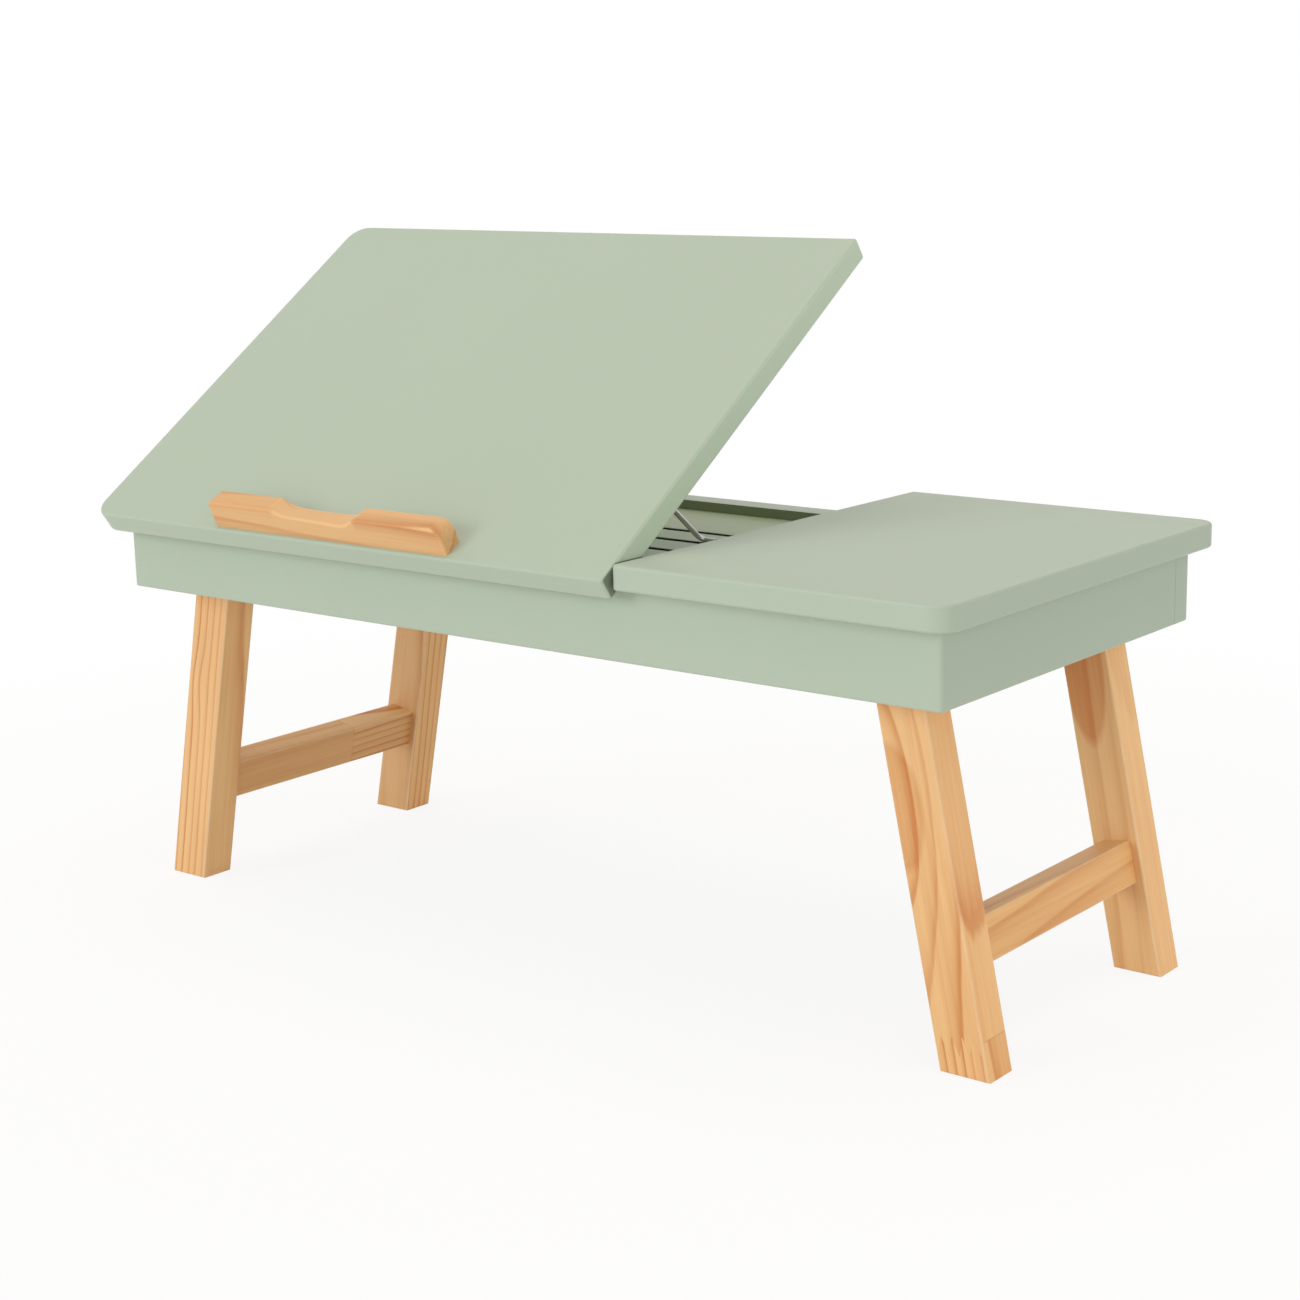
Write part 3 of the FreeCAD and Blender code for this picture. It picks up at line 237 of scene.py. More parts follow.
class StageProperties(PropertyGroup):
    """The floor, the lamps and the camera."""

    floor_colour: field("Floor", "Colour of the floor", (1.0, 1.0, 1.0), **COLOUR)
    floor_lift: field(
        "Floor lift", "Share of plain white in the floor, which thins the shadow", 0.86, **SHARE, max=0.9
    )
    sky_level: field("Sky", "Level of the even light from all round", 0.47, min=0.0, max=1.0)
    upper_lamp_level: field("Upper lamp", "Strength of the soft lamp overhead", 0.9, min=0.0, max=5.0)
    upper_lamp_colour: field("Upper lamp colour", "Its colour", (1.0, 0.84, 0.72), **COLOUR)
    left_lamp_level: field("Left lamp", "Strength of the low front left lamp", 0.85, min=0.0, max=5.0)
    right_lamp_level: field("Right lamp", "Strength of the low front right lamp", 0.47, min=0.0, max=5.0)
    front_lamp_colour: field("Front lamp colour", "Colour of both front lamps", (0.95, 1.0, 1.0), **COLOUR)
    front_lamp_rise: field("Front lamp rise", "Their angle above the floor", math.radians(15), **ANGLE)
    camera_place: field(
        "Camera", "Where the camera stands", (0.95597, -1.15902, 0.51464), subtype="XYZ", unit="LENGTH"
    )
    camera_heading: field(
        "Heading", "How far round from the front the camera stands", math.radians(37.292), **ANGLE
    )
    camera_dip: field("Dip", "How far the camera looks down", math.radians(12.605), **ANGLE)
    camera_roll: field("Roll", "How far the camera leans over", -0.01532, **ANGLE)
    camera_lens: field("Lens", "Focal length on a 36 mm sensor", 66.64, unit="CAMERA", min=10.0)
    camera_shift: field("Shift", "Sideways shift of the lens, as a share of the picture", -0.0538)


class TableProperties(PropertyGroup):
    """All sizes and colours of the laptop table that a user may change."""

    paint: PointerProperty(type=PaintProperties)
    pine: PointerProperty(type=PineProperties)
    ledge: PointerProperty(type=LedgeProperties)
    hardware: PointerProperty(type=HardwareProperties)
    stage: PointerProperty(type=StageProperties)


# Node helpers


def link(source, target):
    """Links an output to an input in the same node tree."""
    source.id_data.links.new(source, target)


def add(kind, inputs, tree=None, **settings):
    """A new node in a tree, or in that of the sockets among its inputs, which are linked or set."""
    sockets = (value for value in inputs.values() if isinstance(value, bpy.types.NodeSocket))
    made = (tree or next(sockets).id_data).nodes.new("ShaderNode" + kind)
    for name, value in settings.items():
        setattr(made, name, value)
    for key, value in inputs.items():
        if isinstance(value, bpy.types.NodeSocket):
            link(value, made.inputs[key])
        else:
            made.inputs[key].default_value = value
    return made


def maths(operation, first, second=0.0, clamp=False):
    """The number that two numbers give."""
    inputs = {0: first, 1: second}
    return add("Math", inputs, operation=operation, use_clamp=clamp).outputs[0]


def times(first, second, clamp=False):
    """Two numbers multiplied."""
    return maths("MULTIPLY", first, second, clamp)


def minus(first, second, clamp=False):
    """A number less another."""
    return maths("SUBTRACT", first, second, clamp)


def plus(base, value, share=1.0, clamp=False):
    """A number and a share of another."""
    return maths("ADD", base, times(value, share), clamp)


def vectors(operation, first, second):
    """The vector that two vectors give."""
    return add("VectorMath", {0: first, 1: second}, operation=operation).outputs[0]


def scaled(vector, factor):
    """A vector times a number."""
    return add("VectorMath", {0: vector, "Scale": factor}, operation="SCALE").outputs[0]


def length_of(vector):
    """The length of a vector."""
    return add("VectorMath", {0: vector}, operation="LENGTH").outputs[1]


def parts_of(vector):
    """The three numbers of a vector."""
    return add("SeparateXYZ", {0: vector}).outputs


def off_centre(point, centre, size):
    """How far a point lies from the centre of an oval: one on its rim."""
    return length_of(vectors("DIVIDE", vectors("SUBTRACT", point, centre), size))


def noise(vector, scale, detail=2.0, socket=0):
    """A noise texture's value, or its colour from socket 1."""
    return add("TexNoise", {"Vector": vector, "Scale": scale, "Detail": detail}).outputs[socket]


def streaks(vector, across, along, seed, detail=2.0, socket=0):
    """A noise texture drawn out along a piece and moved on by a seed."""
    wide = vectors("MULTIPLY", vector, (across, across, along))
    moved = vectors("ADD", wide, scaled((1.0, 0.37, 1.9), seed))
    return noise(moved, 1.0, detail, socket)


def mixed(factor, first, second, blend="MIX"):
    """Two colours mixed by a number."""
    inputs = {0: factor, 6: first, 7: second}
    return add("Mix", inputs, data_type="RGBA", blend_type=blend).outputs[2]


def ramp(value, stops):
    """A number read off a line through some stops."""
    made = add("ValToRGB", {0: value})
    elements = made.color_ramp.elements
    for element, (place, level) in zip(elements, (stops[0], stops[-1])):
        element.position = place
        element.color = (level, level, level, 1.0)
    for place, level in stops[1:-1]:
        elements.new(place).color = (level, level, level, 1.0)
    return made.outputs[0]


def shared_group(inputs):
    """Turns a function that fills a node group into one that gives the group, filled only once."""
    kinds = {1: "NodeSocketFloat", 3: "NodeSocketVector", 4: "NodeSocketColor"}

    def shared(fill):
        name = fill.__name__

        def give():
            if name in bpy.data.node_groups:
                return bpy.data.node_groups[name]
            tree = bpy.data.node_groups.new(name, "ShaderNodeTree")
            sockets = tree.interface
            for label, default in inputs.items():
                kind = kinds[len(default) if isinstance(default, tuple) else 1]
                socket = sockets.new_socket(name=label, in_out="INPUT", socket_type=kind)
                socket.default_value = default
            filled = fill(tree.nodes.new("NodeGroupInput").outputs)
            for label in filled:
                kind = kinds[4 if label == "Color" else 1]
                sockets.new_socket(name=label, in_out="OUTPUT", socket_type=kind)
            result = tree.nodes.new("NodeGroupOutput")
            for label, value in filled.items():
                link(value, result.inputs[label])
            return tree

        return give

    return shared


# Shared finishes


@shared_group({"Vector": ORIGIN, "Paint": (0.5, 0.5, 0.5, 1.0), "Drift": 0.05})
def paint_film(given):
    """Satin paint: a slow drift of tone, a roller's texture and patches of gloss."""
    place = given["Vector"]
    slow = noise(place, 5.0, 1.0)
    patch = noise(place, 38.0)
    roller = noise(place, 620.0)
    speck = noise(place, 1900.0, 1.0)
    uneven = plus(plus(slow, patch, 0.35), roller, 0.2)
    level = plus(1.0, minus(uneven, 0.775), given["Drift"])
    return {
        "Color": scaled(given["Paint"], level),
        "Roughness": plus(plus(0.40, patch, 0.12), speck, 0.05),
        "Height": plus(roller, speck, 0.3),
    }


@shared_group({
    "Vector": ORIGIN,
    "Pith": (0.05, 0.05, 0.0),
    "Lean": ORIGIN,
    "Ring Width": 0.006,
    "Drift": 0.003,
    "Swirl Place": ORIGIN,
    "Swirl Size": (0.01, 0.01, 0.03),
    "Swirl Rise": 0.0,
    "Heart Place": ORIGIN,
    "Heart Size": (0.01, 0.01, 0.03),
    "Heart Tone": 0.0,
    "Pale": (0.8, 0.5, 0.3, 1.0),
    "Band": (0.6, 0.2, 0.1, 1.0),
    "Contrast": 1.0,
    "Crispness": 1.0,
    "Seed": 0.0,
})
def pine_grain(given):
    """Growth rings where a board cuts them, with heartwood, fibres and flecks along its length."""
    place = given["Vector"]
    seed = given["Seed"]
    slow = streaks(place, 22.0, 7.0, seed, 1.0, socket=1)
    stray = vectors("SUBTRACT", slow, (0.5, 0.5, 0.5))
    moved = vectors("ADD", place, scaled(stray, times(given["Drift"], 2.0)))
    from_pith = vectors("SUBTRACT", moved, given["Pith"])
    from_pith = vectors("SUBTRACT", from_pith, scaled(given["Lean"], parts_of(moved)[2]))
    radius = length_of(vectors("MULTIPLY", from_pith, (1.0, 1.0, 0.0)))
    swirl = off_centre(moved, given["Swirl Place"], given["Swirl Size"])
    bulge = maths("EXPONENT", times(times(swirl, swirl), -1.0))
    rings = plus(maths("DIVIDE", radius, given["Ring Width"]), bulge, given["Swirl Rise"])
    ripple = streaks(place, 120.0, 6.0, seed)
    rings = plus(rings, minus(ripple, 0.5), 0.22)
    late = ramp(maths("FRACT", rings), RING_PROFILE)
    late = maths("POWER", late, given["Crispness"])
    number = maths("ADD", maths("FLOOR", rings), seed)
    chance = add("TexWhiteNoise", {"W": number}, noise_dimensions="1D").outputs[0]
    strength = plus(0.5, chance, 0.5)
    late = times(times(late, strength), given["Contrast"])
    outside = off_centre(moved, given["Heart Place"], given["Heart Size"])
    heart = plus(0.5, minus(1.0, outside), 7.0, clamp=True)
    tone = streaks(place, 30.0, 4.0, seed)
    streak = streaks(place, 300.0, 5.0, seed)
    fibre = streaks(place, 1100.0, 16.0, seed)
    dark = plus(times(late, 0.95), heart, given["Heart Tone"])
    for layer, middle, share in ((tone, 0.40, 0.75), (streak, 0.5, 0.45), (fibre, 0.5, 0.40)):
        dark = plus(dark, minus(layer, middle), share)
    wood = mixed(dark, given["Pale"], given["Band"])
    fleck = minus(streaks(place, 1500.0, 60.0, seed, 1.0), 0.62)
    fleck = times(times(fleck, 4.0, clamp=True), 0.3)
    return {
        "Color": mixed(fleck, wood, FLECK_COLOUR, "MULTIPLY"),
        "Roughness": plus(plus(0.5, late, -0.1), fibre, 0.1),
        "Height": plus(fibre, late, 0.5),
    }


@shared_group({"Vector": ORIGIN, "Half": (0.01, 0.01, 0.0), "Easing": 0.0014, "Seed": 2.0})
def eased_edge(given):
    """A painted highlight along the four rounded long edges of a squared length of wood, broken up by
    scuffs.
    """
    size = vectors("ABSOLUTE", given["Vector"], ORIGIN)
    parts = parts_of(vectors("SUBTRACT", size, given["Half"]))
    near = maths("MINIMUM", parts[0], parts[1])
    share = maths("ADD", maths("DIVIDE", near, given["Easing"]), 1.0, clamp=True)
    scuff = streaks(given["Vector"], 120.0, 45.0, given["Seed"])
    return {"Mask": times(share, plus(0.1, scuff, 1.2, clamp=True))}


@shared_group({"Vector": ORIGIN, "Level": 0.0, "Finger": 0.01, "Pitch": 0.006})
def finger_joint(given):
    """Where two blocks of a piece meet in a row of glued fingers."""
    parts = parts_of(given["Vector"])
    half = times(given["Pitch"], 0.5)
    across = maths("ADD", parts[0], 1.0)
    wave = maths("DIVIDE", maths("PINGPONG", across, half), half)
    edge = times(minus(wave, 0.5), given["Finger"])
    above = minus(minus(parts[2], given["Level"]), edge)
    near = times(maths("ABSOLUTE", above), 1400.0)
    return {
        "Mask": plus(0.5, above, -1500.0, clamp=True),
        "Seam": minus(1.0, near, clamp=True),
    }


@shared_group({"Vector": ORIGIN, "Metal": (0.5, 0.5, 0.5, 1.0)})
def plated_metal(given):
    """Zinc plating: drawn lines, a mottled bloom and uneven gloss."""
    place = given["Vector"]
    bloom = noise(place, 160.0, 3.0)
    grit = noise(place, 2600.0)
    lines = noise(vectors("MULTIPLY", place, (60.0, 2200.0, 2200.0)), 1.0)
    return {
        "Color": mixed(times(bloom, 0.3), given["Metal"], BLOOM_COLOUR, "MULTIPLY"),
        "Roughness": plus(plus(0.24, bloom, 0.22), lines, 0.08),
        "Height": plus(lines, grit, 0.4),
    }


# Materials


def new_material(name):
    """An empty material, with its shader and its object coordinates."""
    made = bpy.data.materials.new(name)
    made.use_nodes = True
    nodes = made.node_tree.nodes
    nodes.clear()
    shader = nodes.new("ShaderNodeBsdfPrincipled")
    output = nodes.new("ShaderNodeOutputMaterial")
    link(shader.outputs[0], output.inputs["Surface"])
    return made, shader, nodes.new("ShaderNodeTexCoord").outputs["Object"]


def place_group(group, inputs):
    """The outputs of a node group placed in a material with its own values."""
    return add("Group", inputs, node_tree=group).outputs


def use_finish(shader, finish, colour, depth):
    """Feeds a shader from a finish and a colour, with the finish's height as a bump."""
    bump = add("Bump", {"Strength": 1.0, "Distance": depth, "Height": finish["Height"]})
    link(colour, shader.inputs["Base Color"])
    link(finish["Roughness"], shader.inputs["Roughness"])
    link(bump.outputs[0], shader.inputs["Normal"])


def paint(name, settings, shades=()):
    """The boards' paint, with tints of painted light and shade within some limits."""
    made, shader, place = new_material(name)
    inputs = {"Vector": place, "Paint": (*settings.colour, 1.0), "Drift": settings.drift}
    film = place_group(paint_film(), inputs)
    colour = film["Color"]
    for limits, tint in shades:
        # Each tint multiplies the paint as painted light or shade where the place keeps to its limits
        colour = mixed(within(place, limits), colour, (*tint, 1.0), "MULTIPLY")
    use_finish(shader, film, colour, settings.roller_height)
    return made


def past(coordinate, level, way):
    """One where a coordinate lies past a level, or short of it, and zero elsewhere."""
    return times(minus(coordinate, level), way * SKIN_SHARPNESS, clamp=True)


def within(place, limits):
    """One where a place keeps to some limits: each an axis, a level and the way to keep from it."""
    share = 1.0
    for axis, level, way in limits:
        share = times(past(parts_of(place)[axis], level, way), share)
    return share


def plain_cut(pith, lean, ring_width, drift, contrast, seed, crispness=1.0):
    """How a piece was cut from the log, with nothing to disturb its rings."""
    return {
        "Pith": (*pith, 0.0),
        "Lean": (*lean, 0.0),
        "Ring Width": ring_width,
        "Drift": drift,
        "Contrast": contrast,
        "Crispness": crispness,
        "Seed": seed,
    }


def dowel_cut(seed):
    """How a dowel was cut."""
    return plain_cut((0.020, 0.030), (0.0, 0.0), 0.0030, 0.0010, 0.5, seed)


def swirled_cut(cut, place, size, rise):
    """The same cut with its rings bulging round one place."""
    return {**cut, "Swirl Place": place, "Swirl Size": size, "Swirl Rise": rise}


def hearted_cut(cut, place, size, tone):
    """The same cut with a tongue of darker wood in one place."""
    return {**cut, "Heart Place": place, "Heart Size": size, "Heart Tone": tone}


def pine(name, settings, place, turn, cuts, meeting=None, half=None, shade=1.0, face=None):
    """Lacquered pine with its grain along the piece's own length, and painted light and shade laid over
    it.
    """
    made, shader, coordinates = new_material(name)
    inputs = {"Vector": coordinates, "Location": place, "Rotation": turn}
    own = add("Mapping", inputs, vector_type="TEXTURE").outputs[0]
    # A shade below one darkens this whole copy of the pine as painted shade, in both its colours
    wood = {
        "Vector": own,
        "Pale": (*(value * shade for value in settings.pale), 1.0),
        "Band": (*(value * shade for value in settings.band), 1.0),
    }
    grains = [place_group(pine_grain(), {**wood, **cut}) for cut in cuts]
    colour = grains[0]["Color"]
    if meeting:
        level, finger, pitch = meeting
        inputs = {"Vector": own, "Level": level, "Finger": finger, "Pitch": pitch}
        meet = place_group(finger_joint(), inputs)
        colour = mixed(meet["Mask"], colour, grains[1]["Color"])
        colour = mixed(times(meet["Seam"], GLUE_SHARE), colour, GLUE_COLOUR, "MULTIPLY")
    if half:
        # A painted highlight, broken up by scuffs, along the piece's rounded long edges
        edge_highlight = place_group(eased_edge(), {"Vector": own, "Half": (*half, 0.0)})
        colour = mixed(times(edge_highlight["Mask"], EDGE_HIGHLIGHT_SHARE), colour, EDGE_HIGHLIGHT_COLOUR)
    # A tint on one side face paints the light or shade that falls on that side
    if face:
        side, tint = face
        across = times(parts_of(own)[X], side)
        colour = mixed(past(across, half[0] - WOOD_SKIN, PAST), colour, (*tint, 1.0), "MULTIPLY")
    use_finish(shader, grains[0], colour, settings.grain_depth)
    shader.inputs["Coat Weight"].default_value = 0.06
    shader.inputs["Coat Roughness"].default_value = 0.35
    return made


def metal(name, colour, depth):
    """Plated steel or zinc."""
    if name in bpy.data.materials:
        return bpy.data.materials[name]
    made, shader, place = new_material(name)
    plating = place_group(plated_metal(), {"Vector": place, "Metal": (*colour, 1.0)})
    use_finish(shader, plating, plating["Color"], depth)
    shader.inputs["Metallic"].default_value = 1.0
    return made


def plated_steel(settings):
    """The plated steel of the hinges, clips, bolts and screws."""
    return metal("plated_steel", settings.steel, STEEL_PLATING)


def wear(node, material):
    """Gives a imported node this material."""
    piece = frame["nodes"][node]
    if not piece.material_slots:
        piece.data.materials.append(material)
    for slot in piece.material_slots:
        slot.material = material


# Where the pieces lie


def middle_of(node):
    """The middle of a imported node's box."""
    low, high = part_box(node)
    return (low + high) / 2


def leg_place(side, node):
    """The point on a leg's bolt that its grain is measured from."""
    pivot = Vector(joint(side + "_leg_fold")["pos_m"])
    return Vector((pivot.x, middle_of(node).y, pivot.z))


def frame_turn(side, tip):
    """How a leg or stretcher is turned, tipped over first, with its length along its own Z."""
    return Euler((tip, -LEG_SPLAY, 0.0 if side == "right" else math.pi))


def tilted(x, reach, height):
    """A point given on the tilting top: along the table, up its slope and off its underside."""
    return HINGE + Matrix.Rotation(TILT, 3, "X") @ Vector((x, reach, height))


# Modelling helpers


def set_mode(mode):
    """Takes the active piece into object mode or edit mode."""
    bpy.ops.object.mode_set(mode=mode)


def start_alone():
    """Leaves nothing selected."""
    if bpy.context.object and bpy.context.object.mode != "OBJECT":
        set_mode("OBJECT")
    bpy.ops.object.select_all(action="DESELECT")


def choose(piece):
    """Selects one piece alone and makes it the active one."""
    start_alone()
    piece.select_set(True)
    bpy.context.view_layer.objects.active = piece


def select_only(piece, kind, wanted):
    """Selects the vertices, edges or polygons of a piece in edit mode that answer a test."""
    set_mode("OBJECT")
    mesh = piece.data
    for group in (mesh.vertices, mesh.edges, mesh.polygons):
        group.foreach_set("select", [False] * len(group))
    found = [part for part in getattr(mesh, kind) if wanted(part)]
    if not found:
        raise RuntimeError("none of the " + kind + " of " + piece.name + " answers the test")
    for part in found:
        part.select = True
    kinds = ("vertices", "edges", "polygons")
    bpy.context.tool_settings.mesh_select_mode = [kind == each for each in kinds]
    set_mode("EDIT")


def select_faces(piece, wanted):
    """Selects the faces that answer a test of their normal."""
    select_only(piece, "polygons", lambda face: wanted(face.normal))


def select_edges(piece, wanted):
    """Selects the edges both of whose ends answer a test."""
    set_mode("OBJECT")
    ends = piece.data.vertices
    select_only(piece, "edges", lambda edge: all(wanted(ends[end].co) for end in edge.vertices))


def select_point(piece, place):
    """Selects the one corner that lies nearest to a place."""
    set_mode("OBJECT")
    nearest = min(piece.data.vertices, key=lambda corner: (corner.co - place).length).index
    select_only(piece, "vertices", lambda corner: corner.index == nearest)


def faces_up(normal):
    return normal.z > 0.9


def faces_down(normal):
    return normal.z < -0.9


def faces_sideways(normal):
    return abs(normal.z) < 0.1


def extrude(distance, spread, level):
    """Draws the selected face out along Z and spreads it about the piece's axis."""
    bpy.ops.mesh.extrude_region_move(TRANSFORM_OT_translate={"value": (0.0, 0.0, distance)})
    bpy.ops.transform.resize(value=(spread, spread, 1.0), center_override=(0.0, 0.0, level))


def cut_away(piece, cutter):
    """Cuts a cutter's shape out of a piece and removes the cutter."""
    choose(piece)
    cutting = piece.modifiers.new("cutting", "BOOLEAN")
    cutting.operation = "DIFFERENCE"
    cutting.solver = "EXACT"
    cutting.object = cutter
    bpy.ops.object.modifier_apply(modifier=cutting.name)
    bpy.data.objects.remove(cutter)


# The screws


def cross_bit(width, reach, depth):
    """The cutter of a cross recess, pointing down from the origin."""
    start_alone()
    bpy.ops.mesh.primitive_cube_add(size=1.0, location=ORIGIN)
    bit = bpy.context.object
    bit.name = "cross_bit"
    bit.scale = (width, width, depth * 2)
    bpy.ops.object.transform_apply()
    select_faces(bit, faces_sideways)
    bpy.ops.mesh.extrude_faces_move(TRANSFORM_OT_shrink_fatten={"value": reach - width / 2})
    select_faces(bit, faces_down)
    taper = (RECESS_TAPER, RECESS_TAPER, 1.0)
    bpy.ops.transform.resize(value=taper, center_override=(0.0, 0.0, -depth))
    set_mode("OBJECT")
    return bit


def cut_recess(screw, level, settings):
    """Cuts the cross recess into a screw's head and eases the edges."""
    head = settings.head_radius
    bit = cross_bit(head * RECESS_WIDTH, head * RECESS_REACH, settings.recess_depth)
    bit.location.z = level
    cut_away(screw, bit)
    easing = screw.modifiers.new("easing", "BEVEL")
    easing.width = RECESS_EASING
    easing.segments = 2
    easing.limit_method = "ANGLE"
    easing.angle_limit = SCREW_SMOOTHING
    bpy.ops.object.modifier_apply(modifier=easing.name)
    bpy.ops.object.shade_smooth_by_angle(angle=SCREW_SMOOTHING)


def pointed_shank(name, settings, top, length):
    """A screw's shank with its point, from a level downwards."""
    start_alone()
    point = settings.shank_radius * POINT_LENGTH
    bpy.ops.mesh.primitive_cylinder_add(
        vertices=ROUND_SIDES,
        radius=settings.shank_radius,
        depth=length - point,
        location=(0.0, 0.0, top - (length - point) / 2),
    )
    screw = bpy.context.object
    screw.name = name
    bpy.ops.object.transform_apply()
    select_faces(screw, faces_down)
    extrude(-point, POINT_SPREAD, top - length)
    select_faces(screw, faces_up)
    return screw


def countersunk_screw(settings):
    """A countersunk wood screw with its face at the origin."""
    sink = settings.head_radius - settings.shank_radius
    screw = pointed_shank("countersunk_screw", settings, -sink, HINGE_SCREW_LENGTH)
    extrude(sink, settings.head_radius / settings.shank_radius, 0.0)
    set_mode("OBJECT")
    cut_recess(screw, 0.0, settings)
    return screw


def pan_screw(settings):
    """A pan-headed screw that seats at the origin, with its head above."""
    screw = pointed_shank("pan_screw", settings, 0.0, CLIP_SCREW_LENGTH)
    extrude(0.0, settings.head_radius / settings.shank_radius, 0.0)
    for rise, spread in PAN_HEAD_STEPS:
        extrude(PAN_HEAD_HEIGHT * rise, spread, 0.0)
    set_mode("OBJECT")
    cut_recess(screw, PAN_HEAD_HEIGHT, settings)
    return screw


def drive(screw, name, places, turn, body, node, material):
    """Copies a screw to its places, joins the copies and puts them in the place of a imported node."""
    copies = []
    for place in places:
        choose(screw)
        bpy.ops.object.duplicate(linked=False)
        copy = bpy.context.object
        copy.rotation_euler = turn
        copy.location = place
        bpy.ops.object.transform_apply()
        copies.append(copy)
    start_alone()
    for copy in copies:
        copy.select_set(True)
    bpy.context.view_layer.objects.active = copies[0]
    bpy.ops.object.join()
    joined = bpy.context.object
    joined.name = name
    joined.data.name = name
    joined.data.materials.clear()
    joined.data.materials.append(material)
    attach(joined, body)
    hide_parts(node)


# The ledge bar


def squared_bar(settings):
    """The bar as a leaning length of wood along X, with its front lower left corner at the origin."""
    start_alone()
    bpy.ops.mesh.primitive_cube_add(size=1.0, location=(0.5, 0.5, 0.5))
    bar = bpy.context.object
    bar.name = "carved_ledge_bar"
    bar.data.name = "carved_ledge_bar"
    bpy.ops.object.transform_apply()
    bar.scale = (settings.length, settings.depth, settings.height)
    bpy.ops.object.transform_apply()
    for side, fall in ((0.0, 0.0), (settings.depth, settings.fall)):
        corner = Vector((side, settings.height))
        select_edges(bar, lambda place: (place.yz - corner).length < NEAR)
        bpy.ops.transform.translate(value=(0.0, settings.lean, -fall))
    set_mode("OBJECT")
    return bar


def ledge_faces(settings):
    """The bar's front and back faces: each one's place at its foot, its slant and its height."""
    back = settings.height - settings.fall
    return (
        (0.0, settings.lean / settings.height, settings.height),
        (settings.depth, settings.lean / back, back),
    )


def carve_dip(bar, settings):
    """Cuts the bar across at each place of the dip and lowers its upper edges there."""
    set_mode("EDIT")
    for along, front, back in LEDGE_DIP:
        bpy.ops.mesh.select_all(action="SELECT")
        bpy.ops.mesh.bisect(plane_co=(along, 0.0, 0.0), plane_no=(1.0, 0.0, 0.0))
    for along, *drops in LEDGE_DIP:
        for (foot, slant, height), drop in zip(ledge_faces(settings), drops):
            if drop > 0.0:
                select_point(bar, Vector((along, foot + slant * height, height)))
                bpy.ops.transform.translate(value=(0.0, -drop * slant, -drop))


def round_ends(bar, settings):
    """Rounds the two upper ends of the bar."""
    level = settings.height - settings.fall - NEAR
    for end, radius, segments in (
        (0.0, settings.left_round, 5),
        (settings.length, settings.right_round, 12),
    ):
        select_edges(bar, lambda place: abs(place.x - end) < NEAR and place.z > level)
        bpy.ops.mesh.bevel(offset=radius, segments=segments, affect="EDGES")


def ease_edges(bar, settings):
    """Eases the crease where the dip starts and all edges but those that the bar stands on, and gives the
    new faces the painted highlight.
    """
    set_mode("OBJECT")
    corners = bar.data.vertices

    def outer(edge):
        first, second = (corners[end].co for end in edge.vertices)
        for foot, slant, height in ledge_faces(settings):
            if max(abs(place.y - foot - slant * place.z) for place in (first, second)) < 2 * FAIRLY_NEAR:
                above = min(first.z, second.z) > FAIRLY_NEAR
                at_end = any(abs(first.x - x) < NEAR for x in (0.0, settings.length))
                return above or (at_end and abs(first.x - second.x) < NEAR)
        return False

    select_only(bar, "edges", outer)
    # The new faces take the second material, the lighter copy of the pine painted as a highlight
    bpy.ops.mesh.bevel(
        offset=settings.easing, segments=4, affect="EDGES", clamp_overlap=True, material=1
    )
    crease = LEDGE_DIP[0][0]
    level = settings.height - settings.fall - settings.easing
    select_edges(bar, lambda place: abs(place.x - crease) < FAIRLY_NEAR and place.z > level)
    bpy.ops.mesh.bevel(offset=settings.easing / 2, segments=2, affect="EDGES", material=1)
    set_mode("OBJECT")


def drill_dowels(bar, settings):
    """Drills the two dowel holes into the bar from below."""
    for along in LEDGE_DOWELS:
        start_alone()
        bpy.ops.mesh.primitive_cylinder_add(
            vertices=ROUND_SIDES,
            radius=DOWEL_RADIUS,
            depth=DOWEL_GRIP * 2,
            location=(along, settings.depth / 2, 0.0),
        )
        cut_away(bar, bpy.context.object)


# Operators


class LAPTOP_TABLE_OT_paint_boards(Operator):
    """Paint the apron boards, the tray's floor and the two tops, with painted light and shade on some
    faces
    """

    bl_idname = "laptop_table.paint_boards"
    bl_label = "Paint the boards"

    def execute(self, context):
        settings = context.scene.laptop_table.paint
        plain = paint("sage_paint", settings)
        for node in PAINTED_BOARDS:
            wear(node, plain)
        low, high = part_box("floor_panel")
        # Painted shade in the grooves, on the tray's floor and on the back board's inner face; painted
        # light and shade on the tilting top's end face
        shaded_grooves = ((Z, high.z - GROOVE_LIP, SHORT), (Z, low.z + PANEL_UNDERSIDE, PAST))
        shaded_tray_floor = ((Z, high.z - TRAY_FLOOR_SKIN, PAST),)
        shaded_inner_back = ((Y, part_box("apron_back")[1].y - BACK_BOARD_DEPTH, SHORT),)
        lit_end_face = ((X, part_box("tilt_top")[1].x - SPLIT_SKIN, PAST),)
        shaded_low_end = (*lit_end_face, (Z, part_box("fixed_top")[1].z, SHORT))
        for node, name, *shades in (
            ("floor_panel", "tray_floor_paint", (shaded_grooves, GROOVE_PAINTED_SHADE), (shaded_tray_floor, TRAY_FLOOR_PAINTED_SHADE)),
            ("apron_back", "back_board_paint", (shaded_inner_back, INNER_BACK_PAINTED_SHADE)),
            ("tilt_top", "tilt_top_paint", (lit_end_face, SPLIT_PAINTED_LIGHT), (shaded_low_end, LOW_SPLIT_PAINTED_SHADE)),
        ):
            wear(node, paint(name, settings, shades))
        return {"FINISHED"}


